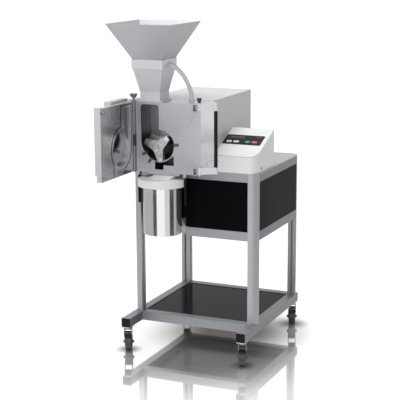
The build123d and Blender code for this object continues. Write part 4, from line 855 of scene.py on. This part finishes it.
def buildCard(name, card):
    # low curved screen beside the camera, mirrored only in metal that stands well away from it
    mesh = bpy.data.meshes.new(name)
    places = []
    steps = 12
    for step in range(steps + 1):
        angle = math.radians(card["from"] + (card["to"] - card["from"]) * step / steps)
        x = studio["cardCentre"][0] + studio["cardDistance"] * math.sin(angle)
        y = studio["cardCentre"][1] - studio["cardDistance"] * math.cos(angle)
        places += [(x, y, 0.0), (x, y, studio["cardHeight"])]
    faces = [(2 * step, 2 * step + 2, 2 * step + 3, 2 * step + 1) for step in range(steps)]
    mesh.from_pydata(places, [], faces)
    screen = bpy.data.objects.new(name, mesh)
    bpy.context.scene.collection.objects.link(screen)
    cloth = bpy.data.materials.new(name)
    cloth.use_nodes = True
    tree = cloth.node_tree
    tree.nodes.clear()
    output = addNode(tree, "ShaderNodeOutputMaterial", 300, 0)
    tone = addNode(tree, "ShaderNodeEmission", 0, 0)
    path = addNode(tree, "ShaderNodeLightPath", -600, 0)
    away = addNode(tree, "ShaderNodeMath", -400, 0, operation="GREATER_THAN")
    away.inputs[1].default_value = studio["cardReach"]
    strength = addNode(tree, "ShaderNodeMapRange", -200, 0)
    strength.inputs["To Min"].default_value = 1.0
    strength.inputs["To Max"].default_value = card["tone"]
    tree.links.new(path.outputs["Ray Length"], away.inputs[0])
    tree.links.new(away.outputs[0], strength.inputs["Value"])
    tree.links.new(strength.outputs["Result"], tone.inputs["Strength"])
    tree.links.new(tone.outputs[0], output.inputs["Surface"])
    mesh.materials.append(cloth)
    screen.visible_camera = False
    screen.visible_diffuse = False
    screen.visible_shadow = False


def buildStudio():
    floorMesh = bpy.data.meshes.new("studioFloor")
    reach = 30.0
    floorMesh.from_pydata([(-reach, -reach, 0), (reach, -reach, 0), (reach, reach, 0), (-reach, reach, 0)], [], [(0, 1, 2, 3)])
    floor = bpy.data.objects.new("studioFloor", floorMesh)
    bpy.context.scene.collection.objects.link(floor)
    paint = bpy.data.materials.new("studioFloor")
    paint.use_nodes = True
    floorTree = paint.node_tree
    floorTree.nodes.clear()
    floorOut = addNode(floorTree, "ShaderNodeOutputMaterial", 600, 0)
    matt = addNode(floorTree, "ShaderNodeBsdfDiffuse", -200, 200)
    matt.inputs["Color"].default_value = (0.93, 0.91, 0.90, 1.0)
    glow = addNode(floorTree, "ShaderNodeEmission", -200, 50)
    floorPlace = addNode(floorTree, "ShaderNodeTexCoord", -1100, 0)
    fromMiddle = addNode(floorTree, "ShaderNodeVectorMath", -900, 0, operation="LENGTH")
    farther = addNode(floorTree, "ShaderNodeMapRange", -700, 0)
    farther.inputs["From Min"].default_value = 0.25
    farther.inputs["From Max"].default_value = 0.60
    farther.inputs["To Min"].default_value = studio["floorGlowNear"]
    farther.inputs["To Max"].default_value = studio["floorGlow"]
    # painted shadow: soft dark patch under the machine and round each wheel, darkening the floor's mirror colour and
    # glow
    shade = None
    for spot, near, far, dark in studio["floorShade"]:
        away = addNode(floorTree, "ShaderNodeVectorMath", -1500, -400, operation="DISTANCE")
        away.inputs[1].default_value = (*spot, 0.0)
        rise = addNode(floorTree, "ShaderNodeMapRange", -1300, -400, interpolation_type="SMOOTHSTEP")
        rise.inputs["From Min"].default_value = near
        rise.inputs["From Max"].default_value = far
        rise.inputs["To Min"].default_value = dark
        floorTree.links.new(floorPlace.outputs["Object"], away.inputs[0])
        floorTree.links.new(away.outputs["Value"], rise.inputs["Value"])
        if shade is None:
            shade = rise.outputs["Result"]
        else:
            product = addNode(floorTree, "ShaderNodeMath", -1100, -400, operation="MULTIPLY")
            floorTree.links.new(shade, product.inputs[0])
            floorTree.links.new(rise.outputs["Result"], product.inputs[1])
            shade = product.outputs[0]
    shadeTone = addNode(floorTree, "ShaderNodeMix", -900, -400, data_type="RGBA")
    shadeTone.inputs["A"].default_value = (0.06, 0.035, 0.03, 1.0)
    shadeTone.inputs["B"].default_value = (1.0, 1.0, 1.0, 1.0)
    floorTree.links.new(shade, shadeTone.inputs["Factor"])
    dimmed = addNode(floorTree, "ShaderNodeMath", -500, 0, operation="MULTIPLY")
    nothing = addNode(floorTree, "ShaderNodeEmission", -200, -50)
    nothing.inputs["Strength"].default_value = 0.0
    floorPath = addNode(floorTree, "ShaderNodeLightPath", -500, 300)
    onlySeen = addNode(floorTree, "ShaderNodeMath", -300, 350, operation="MAXIMUM")
    chooseGlow = addNode(floorTree, "ShaderNodeMixShader", 0, 50)
    both = addNode(floorTree, "ShaderNodeAddShader", 150, 150)
    mirror = addNode(floorTree, "ShaderNodeBsdfGlossy", 0, -150)
    mirror.inputs["Roughness"].default_value = 0.05
    polish = addNode(floorTree, "ShaderNodeMixShader", 350, 50)
    fade = addNode(floorTree, "ShaderNodeMapRange", -500, -250)
    fade.inputs["From Min"].default_value = 0.34
    fade.inputs["From Max"].default_value = 0.70
    fade.inputs["To Min"].default_value = studio["mirrorNear"]
    fade.inputs["To Max"].default_value = studio["mirrorFar"]
    floorLink = floorTree.links.new
    floorLink(floorPlace.outputs["Object"], fromMiddle.inputs[0])
    floorLink(fromMiddle.outputs["Value"], farther.inputs["Value"])
    floorLink(farther.outputs["Result"], dimmed.inputs[0])
    floorLink(shade, dimmed.inputs[1])
    floorLink(dimmed.outputs[0], glow.inputs["Strength"])
    floorLink(shadeTone.outputs["Result"], mirror.inputs["Color"])
    floorLink(fromMiddle.outputs["Value"], fade.inputs["Value"])
    floorLink(fade.outputs["Result"], polish.inputs[0])
    floorLink(floorPath.outputs["Is Camera Ray"], onlySeen.inputs[0])
    floorLink(floorPath.outputs["Is Glossy Ray"], onlySeen.inputs[1])
    floorLink(onlySeen.outputs[0], chooseGlow.inputs[0])
    floorLink(nothing.outputs[0], chooseGlow.inputs[1])
    floorLink(glow.outputs[0], chooseGlow.inputs[2])
    floorLink(matt.outputs[0], both.inputs[0])
    floorLink(chooseGlow.outputs[0], both.inputs[1])
    floorLink(both.outputs[0], polish.inputs[1])
    floorLink(mirror.outputs[0], polish.inputs[2])
    floorLink(polish.outputs[0], floorOut.inputs["Surface"])
    floorMesh.materials.append(paint)

    world = bpy.data.worlds.new("studio")
    bpy.context.scene.world = world
    world.use_nodes = True
    tree = world.node_tree
    tree.nodes.clear()
    output = addNode(tree, "ShaderNodeOutputWorld", 600, 0)
    seen = addNode(tree, "ShaderNodeBackground", 200, 150)
    seen.inputs["Color"].default_value = (1.0, 1.0, 1.0, 1.0)
    seen.inputs["Strength"].default_value = 1.0
    lighting = addNode(tree, "ShaderNodeBackground", 200, -50)
    lighting.inputs["Color"].default_value = (0.8, 0.8, 0.8, 1.0)
    lighting.inputs["Strength"].default_value = studio["ambient"]
    path = addNode(tree, "ShaderNodeLightPath", -400, 300)
    anySeen = addNode(tree, "ShaderNodeMath", -200, 300, operation="MAXIMUM")
    anyClear = addNode(tree, "ShaderNodeMath", 0, 300, operation="MAXIMUM")
    choose = addNode(tree, "ShaderNodeMixShader", 400, 0)
    link = tree.links.new
    link(path.outputs["Is Camera Ray"], anySeen.inputs[0])
    link(path.outputs["Is Glossy Ray"], anySeen.inputs[1])
    link(anySeen.outputs[0], anyClear.inputs[0])
    link(path.outputs["Is Transmission Ray"], anyClear.inputs[1])
    link(anyClear.outputs[0], choose.inputs[0])
    link(lighting.outputs[0], choose.inputs[1])
    link(seen.outputs[0], choose.inputs[2])
    link(choose.outputs[0], output.inputs["Surface"])

    for name, lamp in studio["lamps"].items():
        light = bpy.data.lights.new(name, "AREA")
        light.size = lamp["size"]
        light.energy = lamp["power"]
        obj = bpy.data.objects.new(name, light)
        obj.location = lamp["place"]
        aim = Vector(lamp["aim"]) - Vector(lamp["place"])
        obj.rotation_euler = aim.to_track_quat("-Z", "Y").to_euler()
        bpy.context.scene.collection.objects.link(obj)

    for name, card in studio["cards"].items():
        buildCard(name, card)


def buildCamera():
    view = {"place": (2.103, -4.756, 1.796), "yaw": 23.88, "pitch": 12.06, "roll": -0.28, "lens": 107.1}
    yaw = math.radians(view["yaw"])
    pitch = math.radians(view["pitch"])
    roll = math.radians(view["roll"])
    back = Vector((math.sin(yaw) * math.cos(pitch), -math.cos(yaw) * math.cos(pitch), math.sin(pitch)))
    right = Vector((math.cos(yaw), math.sin(yaw), 0.0))
    up = back.cross(right)
    rightRolled = math.cos(roll) * right + math.sin(roll) * up
    upRolled = -math.sin(roll) * right + math.cos(roll) * up
    lens = bpy.data.cameras.new("photoCamera")
    lens.lens = view["lens"]
    lens.sensor_width = 36.0
    lens.clip_end = 60.0
    camera = bpy.data.objects.new("photoCamera", lens)
    turn = Matrix((rightRolled, upRolled, back)).transposed().to_4x4()
    camera.matrix_world = Matrix.Translation(view["place"]) @ turn
    bpy.context.scene.collection.objects.link(camera)
    bpy.context.scene.camera = camera


buildStudio()
buildCamera()
bpy.context.scene.view_settings.view_transform = "Standard"

print("mill: finishing")
